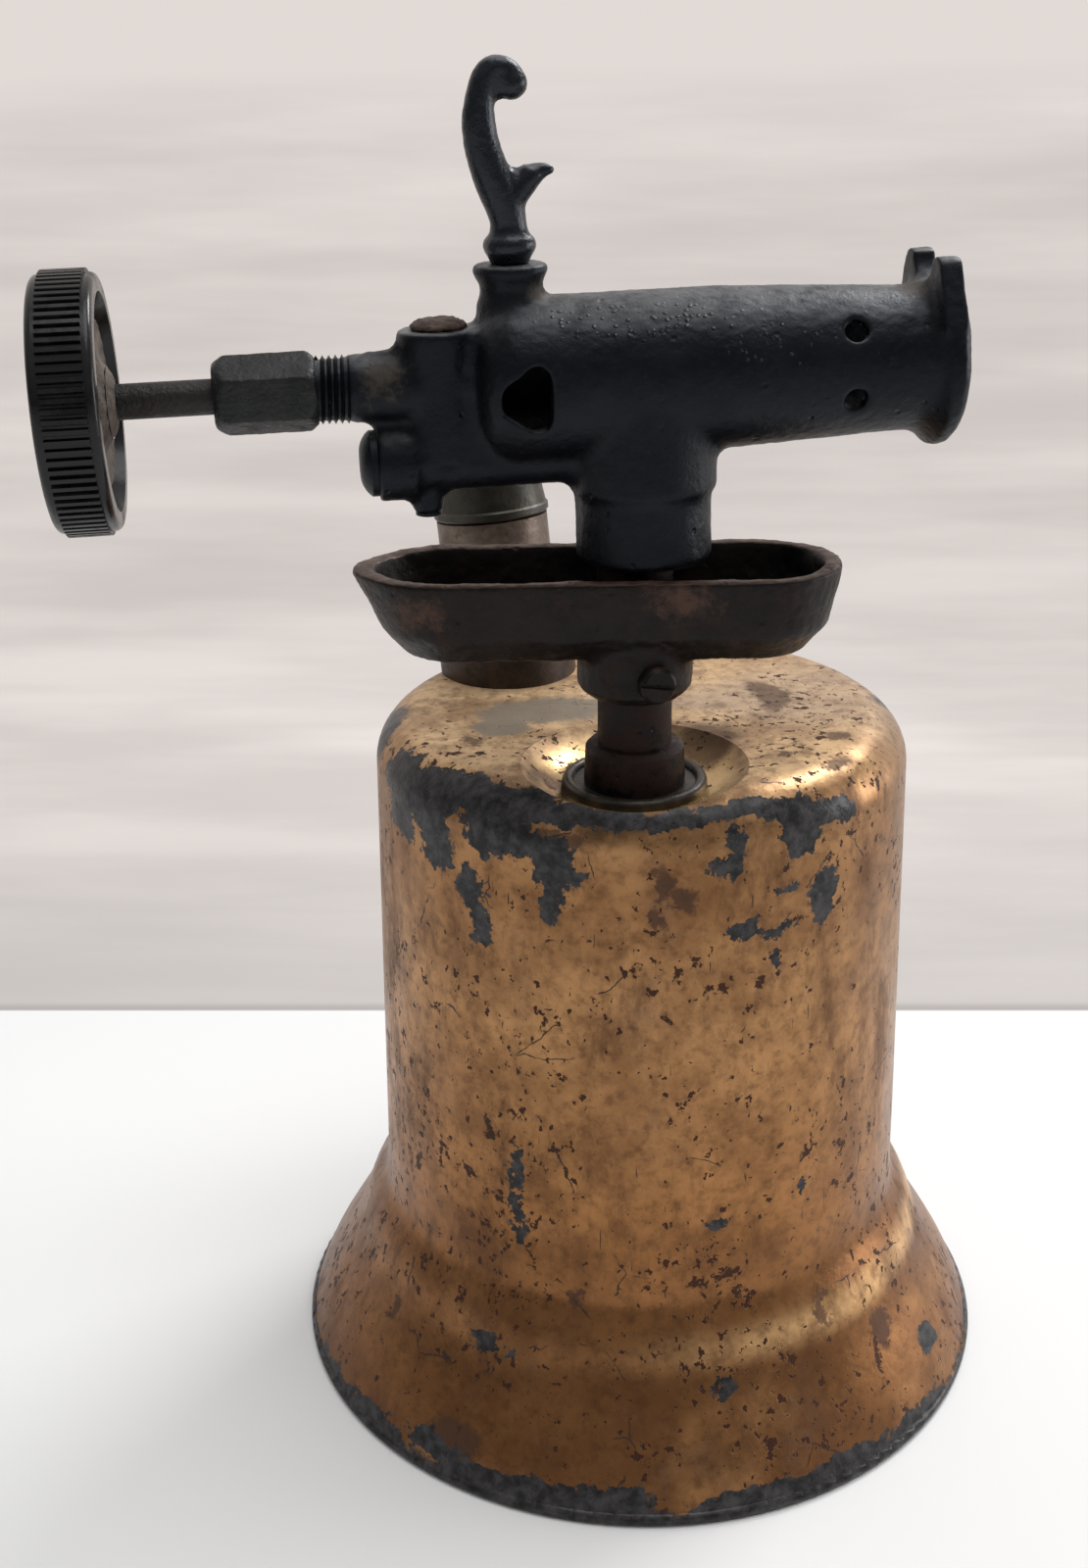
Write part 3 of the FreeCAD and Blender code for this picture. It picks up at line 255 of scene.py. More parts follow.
# %% Colours and relief
class Finish(Patterns):
    def blend(self, share, a, b):
        """Colour a where the share is 0, colour b where it is 1."""
        node = self.add("ShaderNodeMix", data_type="RGBA")
        # A Mix node has sockets for numbers, vectors and colours; these are the ones for colours.
        self.put(node.inputs[0], share)
        self.put(node.inputs[6], a)
        self.put(node.inputs[7], b)
        return node.outputs[2]

    def layer(self, base, share, strength, colour):
        """The base colour with another laid over it, where the share says and as strong as told."""
        return self.blend(self.times(share, strength), base, colour)

    def ramp(self, value, stops):
        """A colour that changes along the value; stops are (value, colour) pairs in rising order."""
        low, high = stops[0][0], stops[-1][0]
        share = self.add("ShaderNodeMapRange")
        self.put(share.inputs["Value"], value)
        share.inputs["From Min"].default_value = low
        share.inputs["From Max"].default_value = high
        node = self.add("ShaderNodeValToRGB")
        self.put(node.inputs["Fac"], share.outputs["Result"])
        band = node.color_ramp.elements
        band[0].color = (*stops[0][1], 1.0)
        band[1].color = (*stops[-1][1], 1.0)
        for at, colour in stops[1:-1]:
            band.new((at - low) / (high - low)).color = (*colour, 1.0)
        return node.outputs["Color"]

    def bump(self, height, depth, under=None):
        """A surface with this relief, laid over another relief if one is given."""
        node = self.add("ShaderNodeBump")
        node.inputs["Strength"].default_value = 1.0
        node.inputs["Distance"].default_value = depth * MM
        self.put(node.inputs["Height"], height)
        if under is not None:
            self.put(node.inputs["Normal"], under)
        return node.outputs["Normal"]

    def finish(self, **sockets):
        """Sets the shader's sockets by their names and gives back the material."""
        for name, value in sockets.items():
            self.put(self.shader.inputs[name.replace("_", " ")], value)
        return self.material


print("finish helper:", Finish.__name__)

# %% Painting helper
def coat(piece, material):
    """Takes every finish off a piece and gives it this one."""
    piece.data.materials.clear()
    piece.data.materials.append(material)


def paint(material, *names):
    """Gives a finish to the solids with these names."""
    for name in names:
        coat(nodes[name], material)
    print(material.name, "on", len(names), "solids")


print("painting helper:", paint.__name__)

# %% [markdown]
# ## Gold paint on the tank
# The tank is pressed steel, sprayed with bronze-gold paint. Decades of use have flaked it down to
# blue-grey metal along the shoulder, freckled it with rust pits, and rubbed the rim bare. The marks
# could be one noise all over, but then the wear would fall in the wrong places. Here the tank is
# unrolled in the nodes: one number runs round it and one runs up its side, and the flakes are
# placed on those two as on a paper pattern. Noise then tears their edges.

# %% Where the paint has flaked
WALL_R = 54.0
# Each mark is (degrees round from the front, height up the unrolled side, half width, half height),
# with the lengths in millimetres.
SHOULDER_FLAKES = (
    (-71, 141, 8, 7), (-61, 140, 9, 8), (-54, 144, 8, 6), (-45, 145, 9, 5.5), (-40, 138, 8, 6),
    (-33, 145, 8, 4.5), (-24, 144, 8, 3.6), (-14, 144, 8, 3.2), (-4, 143.5, 7, 2.8), (5, 144.5, 6, 3),
    (12, 145, 6, 3.2), (20, 143, 6, 3.4), (26, 140, 5, 4), (33, 139, 5, 3), (23, 136, 4.5, 4.5))
WALL_FLAKES = (
    (-56, 131, 4.5, 6), (-69, 132, 5, 5), (-46, 124, 3.2, 5), (-44, 116, 2.8, 5), (-35, 137, 6, 4),
    (-27, 133, 3.6, 6), (-28, 125, 2.8, 5.5), (-23, 130, 2, 2), (8, 135, 2, 5), (5, 132, 3, 1.2),
    (29, 122, 3.2, 5.5), (20, 126, 3, 1), (10, 118, 4, 1.6), (18, 117, 4, 1.3), (18, 112, 1.5, 2.6),
    (-36, 64, 1.4, 5), (-36, 54, 1.3, 5), (-35, 49, 1.5, 3), (25, 59, 1.5, 3), (5, 54.5, 2.4, 1.1))
RIM_FLAKES = (
    (-40, 18.7, 2.2, 2.8), (-35, 19, 1.5, 1.5), (5, 12.5, 2.2, 2.8), (52, -3, 2.5, 4),
    (-45, -13, 5, 4), (-36, -16, 8, 3.4), (-25, -16, 9, 3.8), (-15, -15, 8, 4.2), (2, -17, 5, 2.4),
    (9, -16, 8, 3.2), (17, -17, 8, 2.4), (26, -16, 8, 3.6), (40, -17, 8, 3.2), (-59, -17, 8, 3.2),
    (-72, -18, 8, 3))
BLOTCHES = (
    (-6, 129, 2.4, 4), (-2, 126, 2.4, 3), (-7, 122, 2, 2.4), (55, 157, 4, 3), (40, 150, 3.5, 2.4),
    (34, 160, 3.5, 1.8), (41, 11, 2.4, 7), (28, 26, 1.4, 6), (-23, 36.6, 2, 3), (-64, 13, 1.6, 4),
    (92, 171, 22, 4), (-68, 160, 5, 2.5), (-26, 138, 6, 2), (-42, -9, 5, 6))
print(len(SHOULDER_FLAKES + WALL_FLAKES + RIM_FLAKES + BLOTCHES), "marks placed by hand")

# %% The tank unrolled flat
def unrolled(f):
    """Millimetres round the tank and up its side, flattened like a paper pattern, in one vector."""
    x, y, z = f.split(f.place)
    radius = f.radius(x, y)
    turn = f.math("ARCTAN2", x, f.times(y, -1.0))
    rise = f.times(f.minus(z, radius), 1.0 / MM)
    flat = f.add("ShaderNodeCombineXYZ")
    f.put(flat.inputs[0], f.times(turn, WALL_R))
    f.put(flat.inputs[1], f.plus(rise, WALL_R))
    return flat.outputs[0]


def torn(f, flat, size, amount):
    """The flat pattern, pushed about by noise, so that a smooth outline tears."""
    pushed = f.pushed(flat, (amount, amount, 0.0), size, detail=5.0, rough=0.62)
    back = f.add("ShaderNodeVectorMath", operation="SUBTRACT")
    f.put(back.inputs[0], pushed)
    back.inputs[1].default_value = (amount / 2, amount / 2, 0.0)
    return back.outputs[0]


def marks(flakes):
    """The marks as spots on the flat pattern: (centre, half sizes)."""
    return [((math.radians(turn) * WALL_R, up, 0.0), (wide, high, 1.0))
            for turn, up, wide, high in flakes]


print("first flake on the flat pattern at", [round(c, 1) for c in marks(SHOULDER_FLAKES)[0][0]])

# %% Places and colours of the gold paint
# A spot on the tank's top is (centre, half sizes), in millimetres.
DISH = ((-6.8, -31.1, 142.0), (22.0, 22.0, 9.0))
# The dish shadows are painted shadows of the cup and head, to the right, left and front of the dish.
DISH_SHADOWS = (((10.0, -20.0, 142.0), (9.0, 9.0, 8.0)), ((-23.0, -31.0, 141.0), (6.0, 9.0, 8.0)),
               ((-8.0, -50.0, 142.0), (18.0, 4.0, 8.0)))
RUBBED_TOP = (((-19.0, 0.0, 144.5), (17.0, 9.0, 4.0)), ((-29.0, -8.0, 144.5), (7.0, 6.0, 4.0)))

# Gold from the rim to the middle of the top: (height up the unrolled side, colour).
# Towards the rim it darkens, partly with dirt and partly as painted shade. The dip at 14 is painted
# shade in the crease below the swell, and the dip at 126 is a painted shadow of the cup and head.
GOLD_AND_SHADE_BY_HEIGHT = (
    (-20.0, (0.187, 0.081, 0.031)), (4.0, (0.270, 0.123, 0.046)), (14.0, (0.225, 0.101, 0.038)),
    (22.0, (0.275, 0.129, 0.051)), (33.0, (0.275, 0.124, 0.047)), (50.0, (0.375, 0.172, 0.061)),
    (100.0, (0.485, 0.260, 0.113)), (126.0, (0.390, 0.200, 0.084)), (142.0, (0.450, 0.250, 0.113)),
    (154.0, (0.640, 0.430, 0.230)), (180.0, (0.640, 0.435, 0.245)))
SWELL_HIGHLIGHT_GOLD = (0.780, 0.470, 0.220)
PALE_GOLD = (0.820, 0.580, 0.340)
WARM_GOLD = (0.430, 0.215, 0.086)
DISH_GOLD = (0.640, 0.430, 0.190)
CLOUD_BROWN = (0.140, 0.060, 0.024)
DEEP_BROWN = (0.095, 0.040, 0.018)
MOTTLE_BROWN = (0.105, 0.047, 0.021)
SHADOW_BROWN = (0.095, 0.052, 0.028)
SMOKE_GREY = (0.150, 0.105, 0.088)
EDGE_SHEEN_GREY = (0.430, 0.330, 0.250)
RUBBED_GREY = (0.235, 0.200, 0.160)
PIT_RUST = (0.060, 0.026, 0.016)
BLOTCH_RUST = (0.070, 0.036, 0.025)
CRACK_DARK = (0.050, 0.030, 0.024)
BARE_DARK = (0.020, 0.0190, 0.0198)
BARE_LIGHT = (0.070, 0.0660, 0.0690)
print(len(GOLD_AND_SHADE_BY_HEIGHT), "tones of gold from the rim to the top")

# %% Tone of the gold
def gold_tone(f, around, height):
    """Gold that is pale on top and brown lower down, partly as painted shade, with painted shade in the
    creases, a painted highlight on the swell's right side and a painted sheen along the right edge.
    """
    tone = f.ramp(height, GOLD_AND_SHADE_BY_HEIGHT)
    # Painted highlight on the right side of the swell.
    swell_top = f.times(f.mask(height, 16.0, 23.0), f.mask(height, 31.0, 24.0))
    wavering = f.plus(around, f.times(f.noise(30, 3), 50))
    right_side = f.times(f.mask(wavering, 0, 55), f.mask(around, 150, 95))
    tone = f.blend(f.times(swell_top, right_side), tone, SWELL_HIGHLIGHT_GOLD)
    left_side = f.times(f.mask(around, 10, -40), f.mask(around, -150, -95))
    pale_top = f.times(f.mask(height, 146.0, 156.0), left_side)
    tone = f.layer(tone, pale_top, 0.8, PALE_GOLD)
    sheen = f.times(f.mask(height, 40.0, 20.0), f.mask(f.noise(21, 4, 0.55), 0.50, 0.68))
    tone = f.layer(tone, sheen, 0.85, WARM_GOLD)
    cloud = f.mask(f.noise(15, 6, 0.66), 0.36, 0.70)
    tone = f.layer(tone, cloud, 0.66, CLOUD_BROWN)
    brown = f.mask(f.noise(12, 7, 0.72, f.stretched((1.0, 1.0, 0.40))), 0.48, 0.70)
    tone = f.layer(tone, brown, 0.65, DEEP_BROWN)
    smoky = f.mask(f.noise(20, 4, 0.6, f.stretched((1, 1, 0.6), (0.3, 0.1, 0.2))), 0.56, 0.76)
    tone = f.layer(tone, smoky, 0.35, SMOKE_GREY)
    # Painted grey sheen along the right side, where the paint mirrors the pale paper.
    edge_sheen = f.times(f.mask(around, 44.0, 74.0), f.mask(around, 130.0, 95.0))
    edge_sheen = f.times(edge_sheen, f.mask(height, 30.0, 60.0))
    tone = f.layer(tone, edge_sheen, 0.55, EDGE_SHEEN_GREY)
    mottle = f.mask(f.noise(2.6, 5, 0.66), 0.42, 0.74)
    tone = f.layer(tone, mottle, 0.60, MOTTLE_BROWN)
    return tone, brown


print("tone helper:", gold_tone.__name__)

# %% Pits, cracks and flakes
def paint_pits(f):
    """Rust pits: fine specks everywhere, larger ones where the damp got in."""
    damp = f.times(f.mask(f.noise(26, 3), 0.38, 0.66), 0.075)
    fine = f.mask(f.plus(f.noise(2.1, 3, 0.62, f.stretched((1.0, 1.0, 0.8))), damp), 0.670, 0.70)
    wide = f.mask(f.plus(f.noise(4.8, 5, 0.66), damp), 0.672, 0.70)
    return f.larger(fine, wide)


def paint_cracks(f):
    """Crooked cracks between wide cells, and a few straight upright scratches."""
    crack, _ = f.cells(23, f.wobbled(4, 3.0), "DISTANCE_TO_EDGE")
    crack = f.times(f.mask(crack, 0.009, 0.003), f.mask(f.noise(13, 3), 0.58, 0.63))
    hair = f.mask(f.noise(8.0, 2, 0.5, f.stretched((16.0, 16.0, 1.0))), 0.73, 0.75)
    return f.larger(crack, hair)


def flaked_places(f, around, ragged):
    """1 where the paint is gone: the placed flakes, the rim's edge and the shoulder's far side."""
    inside = f.depth_in(marks(SHOULDER_FLAKES + WALL_FLAKES + RIM_FLAKES), ragged, 1.0)
    crumbly = f.times(f.minus(f.noise(2.4, 4, 0.6), 0.5), 1.3)
    flaked = f.mask(f.plus(inside, crumbly), -0.03, 0.05)
    _, torn_height, _ = f.split(ragged)
    rim_edge = f.mask(torn_height, -16.3, -18.3)
    back = f.mask(f.math("ABSOLUTE", around), 72.0, 84.0)
    shoulder = f.times(f.mask(torn_height, 135.0, 141.0), f.mask(torn_height, 152.0, 147.0))
    far_flakes = f.times(f.times(back, shoulder), f.mask(f.noise(11, 4, 0.6), 0.50, 0.53))
    return f.larger(f.larger(flaked, rim_edge), far_flakes)


print("wear helpers:", paint_pits.__name__, paint_cracks.__name__, flaked_places.__name__)

# %% Gold paint
def gold_paint():
    """The whole finish: gold, painted shadows round the dish, stains, pits and cracks over bare steel,
    dusty on top.
    """
    f = Finish("gold_paint")
    flat = unrolled(f)
    around, height, _ = f.split(flat)
    ragged = torn(f, torn(f, flat, 6.0, 9.0), 1.5, 3.4)
    gold, brown = gold_tone(f, around, height)

    dish = f.mask(f.depth_in([DISH]), 0.02, 0.25)
    gold = f.layer(gold, dish, 0.8, DISH_GOLD)
    # Painted shadow of the cup and head round the dish.
    stain = f.mask(f.plus(f.depth_in(DISH_SHADOWS), f.noise(7, 4, 0.6)), 0.45, 1.0)
    gold = f.layer(gold, stain, 0.9, SHADOW_BROWN)
    pit = paint_pits(f)
    gold = f.blend(pit, gold, PIT_RUST)
    blotch = f.mask(f.depth_in(marks(BLOTCHES), ragged, 1.0), -0.15, 0.35)
    gold = f.layer(gold, blotch, 0.75, BLOTCH_RUST)
    rubbed = f.mask(f.plus(f.depth_in(RUBBED_TOP), f.noise(5, 5, 0.65)), 0.50, 0.85)
    gold = f.layer(gold, rubbed, 0.9, RUBBED_GREY)
    crack = paint_cracks(f)
    gold = f.blend(crack, gold, CRACK_DARK)

    flaked = flaked_places(f, around, ragged)
    steel = f.blend(f.mask(f.noise(2.6, 5, 0.65), 0.33, 0.7), BARE_DARK, BARE_LIGHT)
    colour = f.blend(flaked, gold, steel)

    lost = f.larger(flaked, crack)
    dull = f.larger(f.larger(pit, blotch), brown)
    rough = f.plus(f.between(f.noise(3.2, 4, 0.6), 0.28, 0.44), f.times(dull, 0.16))
    rough = f.minus(rough, f.times(f.larger(dish, flaked), 0.10))
    dusty = f.times(f.mask(height, 147.0, 158.0), f.minus(1.0, dish))
    rough = f.plus(rough, f.times(dusty, 0.16))
    metal = f.times(f.between(lost, 0.72, 0.18), f.between(dull, 1.0, 0.55))
    metal = f.times(metal, f.between(dusty, 1.0, 0.6))
    dents = f.bump(f.noise(24, 2), 0.5)
    chipped = f.bump(f.minus(1.0, pit), 0.15, dents)
    grainy = f.bump(f.noise(0.8, 3), 0.045, chipped)
    return f.finish(Base_Color=colour, Roughness=rough, Metallic=metal, Specular_IOR_Level=0.18,
                    Normal=grainy)


paint(gold_paint(), "tank_shell", "tank_bottom")

# %% [markdown]
# ## Blackened castings
# The head, the cup and the hook are sand castings, burnt black. Their corners are never sharp, and
# their skin has the grain of the sand. A bevel on each edge would need a clean mesh. It is easier
# to remake the whole skin in small even squares, melt it with a smooth modifier, and push it in and
# out with a cloud texture. The copy then stands in for the solid that it came from. Rust has worn
# the packing nut and the top plug just as soft, so they are made the same way.

# %% Modifier helpers
def only(obj):
    """Selects one object and nothing else."""
    bpy.ops.object.select_all(action="DESELECT")
    obj.select_set(True)
    bpy.context.view_layer.objects.active = obj


def apply(obj, kind, **settings):
    """Adds a modifier with these settings and applies it to the mesh."""
    modifier = obj.modifiers.new(kind.lower(), kind)
    for name, value in settings.items():
        setattr(modifier, name, value)
    only(obj)
    bpy.ops.object.modifier_apply(modifier=modifier.name)


print("modifier helpers:", only.__name__, apply.__name__)

# %% Rough skin helpers
def cloud_texture(name, size):
    """A cloud texture for a Displace modifier, with clouds of this size."""
    texture = bpy.data.textures.new(name, "CLOUDS")
    texture.noise_scale = size * MM
    texture.noise_depth = 2
    return texture


SAND_SIZE, SWELL_SIZE = 1.3, 9.0
SAME_PLACE = 1e-6
sand = cloud_texture("sand", SAND_SIZE)
swell = cloud_texture("swell", SWELL_SIZE)


def roughen(obj, texture, height):
    """Pushes the mesh in and out by a cloud texture, by this height in all."""
    apply(obj, "DISPLACE", texture=texture, texture_coords="LOCAL", strength=height * MM, mid_level=0.5)


def rough_copy(node, ending="_casting"):
    """A copy of a solid with its loose triangles joined up, ready to be worked on."""
    skin = bpy.data.objects.new(node + ending, nodes[node].data.copy())
    bpy.context.scene.collection.objects.link(skin)
    only(skin)
    bpy.ops.object.mode_set(mode="EDIT")
    bpy.ops.mesh.select_all(action="SELECT")
    bpy.ops.mesh.remove_doubles(threshold=SAME_PLACE)
    bpy.ops.object.mode_set(mode="OBJECT")
    return skin


print("sand", SAND_SIZE, "mm and swell", SWELL_SIZE, "mm")

# %% Casting helper
def cast_skin(skin, node, slot, square, fill, rounds, grain, waves):
    """Fills the sharp hollows, melts the edges and roughens the skin.

    The sizes are in millimetres: square is the side of a new face, fill is how far the skin is pushed
    out and drawn back, and grain and waves are the heights of the sand and the swell. Rounds says how
    often the skin is smoothed.
    """
    apply(skin, "REMESH", mode="VOXEL", voxel_size=square * MM)
    apply(skin, "DISPLACE", strength=fill * MM, mid_level=0.0)
    apply(skin, "REMESH", mode="VOXEL", voxel_size=square * MM)
    apply(skin, "DISPLACE", strength=-fill * MM, mid_level=0.0)
    apply(skin, "SMOOTH", factor=0.5, iterations=rounds)
    roughen(skin, swell, waves)
    roughen(skin, sand, grain)
    bpy.ops.object.shade_smooth()
    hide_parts(node)
    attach(skin, "torch")
    print(skin.name, len(skin.data.polygons), "faces")
    return skin


print("casting helper:", cast_skin.__name__)

# %% [markdown]
# ## The tank's soft swells
# The flare was pressed in a die and then knocked about for years, so its rings have no crisp edges.
# Sculpting could blur them, but a Smooth modifier does it evenly all the way round. A vertex group
# keeps it on the flare: its weight is full across the rings and fades out above and below them.

# %% Tank skin
SWELLS_LOW, SWELLS_HIGH, SWELLS_FADE = 15.0, 42.0, 5.0
SWELL_ROUNDS = 6
tank = rough_copy("tank_shell", "_skin")
bpy.ops.mesh.customdata_custom_splitnormals_clear()
flare = tank.vertex_groups.new(name="flare")
for vertex in tank.data.vertices:
    height = vertex.co.z / MM
    weight = min(height - SWELLS_LOW, SWELLS_HIGH - height) / SWELLS_FADE + 1.0
    if weight > 0.0:
        flare.add([vertex.index], min(weight, 1.0), "REPLACE")
apply(tank, "SMOOTH", factor=0.5, iterations=SWELL_ROUNDS, vertex_group="flare")
bpy.ops.object.shade_smooth_by_angle(angle=math.radians(35))
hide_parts("tank_shell")
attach(tank, "torch")
print(tank.name, len(tank.data.polygons), "faces")

# %% [markdown]
# ## The head's small flaws
# Two shallow dimples sit behind the head's flange, and crumbs of burnt thread paste cling to the top
# of the valve boss. A dimple is a ball taken out of the iron, and a crumb is a small ball joined to
# it. The hook's horn ends in a small leaf, which is one more ball, squashed. Bumps in a finish could
# fake them, but real shapes hold their outline from every side. All of them are added before the skin
# is remade, so that they melt into the casting.

# %% Dimples and crumbs
DIMPLES = ((39.0, -42.5, 225.5), (38.5, -42.9, 210.9))
DIMPLE_R = 1.5
# Each crumb is (x, y, radius).
CRUMBS = ((-52.6, -31.9, 0.9), (-51.3, -31.4, 0.7), (-50.2, -32.2, 1.0), (-49.0, -31.6, 0.8),
          (-47.8, -32.0, 0.6))
BOSS_TOP = 222.1


def ball(at, radius, rings):
    """A ball of small triangles, split as often as rings says."""
    bpy.ops.object.select_all(action="DESELECT")
    bpy.ops.mesh.primitive_ico_sphere_add(radius=radius * MM, subdivisions=rings,
                                          location=[c * MM for c in at])
    return bpy.context.object


burner = rough_copy("burner_body")
for at in DIMPLES:
    dimple = ball(at, DIMPLE_R, 3)
    apply(burner, "BOOLEAN", object=dimple, operation="DIFFERENCE", solver="EXACT")
    bpy.data.objects.remove(dimple)
crumbs = [ball((x, y, BOSS_TOP), radius, 2) for x, y, radius in CRUMBS]
only(burner)
for crumb in crumbs:
    crumb.select_set(True)
bpy.ops.object.join()
print(len(DIMPLES), "dimples and", len(CRUMBS), "crumbs on the head")

# %% Leaf on the hook's horn
HORN_TIP = (-23.2, -31.1, 251.0)
HORN_TIP_R = 1.8
HORN_TIP_SQUASH = (1.5, 0.7, 0.65)
hook = rough_copy("soldering_hook")
leaf = ball(HORN_TIP, HORN_TIP_R, 3)
leaf.scale = HORN_TIP_SQUASH
only(hook)
leaf.select_set(True)
bpy.ops.object.join()
print("leaf of", HORN_TIP_R, "mm on the hook's horn")

# %% Castings
cast_skin(burner, "burner_body", "black_iron", square=0.53, fill=0.9, rounds=8, grain=0.20, waves=0.30)
cup = cast_skin(rough_copy("priming_cup"), "priming_cup", "black_iron",
                square=0.6, fill=1.0, rounds=8, grain=0.28, waves=0.7)
cast_skin(hook, "soldering_hook", "black_iron", square=0.4, fill=0.8, rounds=6, grain=0.15, waves=0.25)
nut = cast_skin(rough_copy("packing_nut"), "packing_nut", "dark_steel",
                square=0.35, fill=0.3, rounds=6, grain=0.15, waves=0.15)
plug = cast_skin(rough_copy("top_plug"), "top_plug", "rusty_steel",
                 square=0.35, fill=0.3, rounds=4, grain=0.8, waves=1.0)

# %% [markdown]
# ## The thread in front of the nut
# Between the packing nut and the head a few turns of thread show. A thread is one small triangle that
# travels round the pipe while it moves along it, which is just what the Screw modifier does. Rings
# side by side would be simpler, but they would not climb.

# %% Where the thread starts
THREAD_FRONT = -56.2
nut_low, nut_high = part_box("packing_nut")
nut_middle = (nut_low + nut_high) / 2
tilt_of_head = math.radians(1.0)
thread_x = THREAD_FRONT * MM
thread_z = nut_middle.z + (thread_x - nut_middle.x) * math.tan(tilt_of_head)
print("thread starts", round(thread_x / MM, 1), "mm along and", round(thread_z / MM, 1), "mm up")

# %% One tooth of the thread
THREAD_R = 5.2
TOOTH_R = 0.5
TOOTH_LIFT = 0.1
bpy.ops.object.select_all(action="DESELECT")
bpy.ops.mesh.primitive_circle_add(vertices=3, radius=TOOTH_R * MM,
                                  location=(thread_x, nut_middle.y, thread_z))
thread = bpy.context.object
thread.name = "nipple_thread"
bpy.ops.object.mode_set(mode="EDIT")
bpy.ops.mesh.select_all(action="SELECT")
bpy.ops.transform.rotate(value=math.radians(-90), orient_axis="X", center_override=thread.location)
bpy.ops.transform.translate(value=(0, 0, (THREAD_R + TOOTH_LIFT) * MM))
bpy.ops.object.mode_set(mode="OBJECT")
print("tooth:", len(thread.data.vertices), "corners")

# %% Thread wound along the pipe
THREAD_PITCH = 1.1
THREAD_TURNS = 5
THREAD_STEPS = 48
apply(thread, "SCREW", axis="X", screw_offset=-THREAD_PITCH * MM, iterations=THREAD_TURNS,
      steps=THREAD_STEPS, render_steps=THREAD_STEPS, use_merge_vertices=True, merge_threshold=SAME_PLACE)
bpy.ops.object.mode_set(mode="EDIT")
bpy.ops.mesh.select_all(action="DESELECT")
bpy.ops.mesh.select_non_manifold()
bpy.ops.mesh.edge_face_add()
bpy.ops.mesh.select_all(action="SELECT")
bpy.ops.mesh.normals_make_consistent(inside=False)
bpy.ops.object.mode_set(mode="OBJECT")
bpy.ops.object.transform_apply(location=True, rotation=True, scale=True)
bpy.ops.object.shade_smooth_by_angle(angle=math.radians(40))
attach(thread, "torch")
thread_sides = [round(side / MM, 1) for side in thread.dimensions]
print("thread:", len(thread.data.polygons), "faces,", thread_sides, "mm")

# %% [markdown]
# ## The rusty disc in the knob
# A disc sits in the hollow of the knob. Its middle has grown a crust of rust that climbs up the stem.
# The solid is a flat washer, so this piece gives it its dish and its crust. It starts as a cylinder:
# the cap is inset and lifted step by step, subdivision rounds the steps, and a cloud texture roughens
# them. A turned profile would do too, but inset steps are easy to change one at a time.

# %% Where the disc sits
DISC_T = 2.4
WASHER_T = 1.2
washer_low, washer_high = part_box("knob_hub_plate")
axis = Vector((math.cos(tilt_of_head), 0.0, math.sin(tilt_of_head)))
disc_at = (washer_low + washer_high) / 2 + axis * (DISC_T - WASHER_T) / 2 * MM
print("disc at", [round(c / MM, 1) for c in disc_at], "mm")

# %% Hub disc
DISC_R = 14.0
DISC_SIDES = 64
DISC_CRUST = 0.35
# Each step is (inset, lift), from the disc's edge to the stem.
DISC_STEPS = ((0.6, 0.0), (0.8, -0.5), (5.0, 0.0), (1.8, 1.9), (2.0, 0.9), (1.8, 0.0))
bpy.ops.object.select_all(action="DESELECT")
bpy.ops.mesh.primitive_cylinder_add(vertices=DISC_SIDES, radius=DISC_R * MM, depth=DISC_T * MM)
disc = bpy.context.object
disc.name = "hub_disc"
for face in disc.data.polygons:
    face.select = face.normal.z > 0.9
bpy.context.tool_settings.mesh_select_mode = (False, False, True)
bpy.ops.object.mode_set(mode="EDIT")
for inset, lift in DISC_STEPS:
    bpy.ops.mesh.inset(thickness=inset * MM, depth=lift * MM)
bpy.ops.object.mode_set(mode="OBJECT")
apply(disc, "SUBSURF", levels=2, render_levels=2)
roughen(disc, sand, DISC_CRUST)
disc.rotation_euler = axis.to_track_quat("Z", "Y").to_euler()
disc.location = disc_at
only(disc)
bpy.ops.object.transform_apply(location=True, rotation=True, scale=True)
bpy.ops.object.shade_smooth()
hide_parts("knob_hub_plate")
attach(disc, "valve")
print("hub disc:", len(disc.data.polygons), "faces")

# %% [markdown]
# ## The black of the castings
# Burnt iron is nearly black where it is sheltered. On top it wears a grey bloom of ash, and where
# it was wet it turns rusty brown. The bloom is driven by how far a face looks up. It is partly ash
# that settles like dust and partly a painted sheen of the overhead light, bluish on the head and the
# hook. Fuel that boiled over has left the cup browner than the head. A picture of iron could be
# wrapped round each piece instead, but it would stretch and show seams on shapes as knobbly as these.

# %% Iron finishes
BEAD_HIGHLIGHT_GREY = (0.045, 0.046, 0.049)


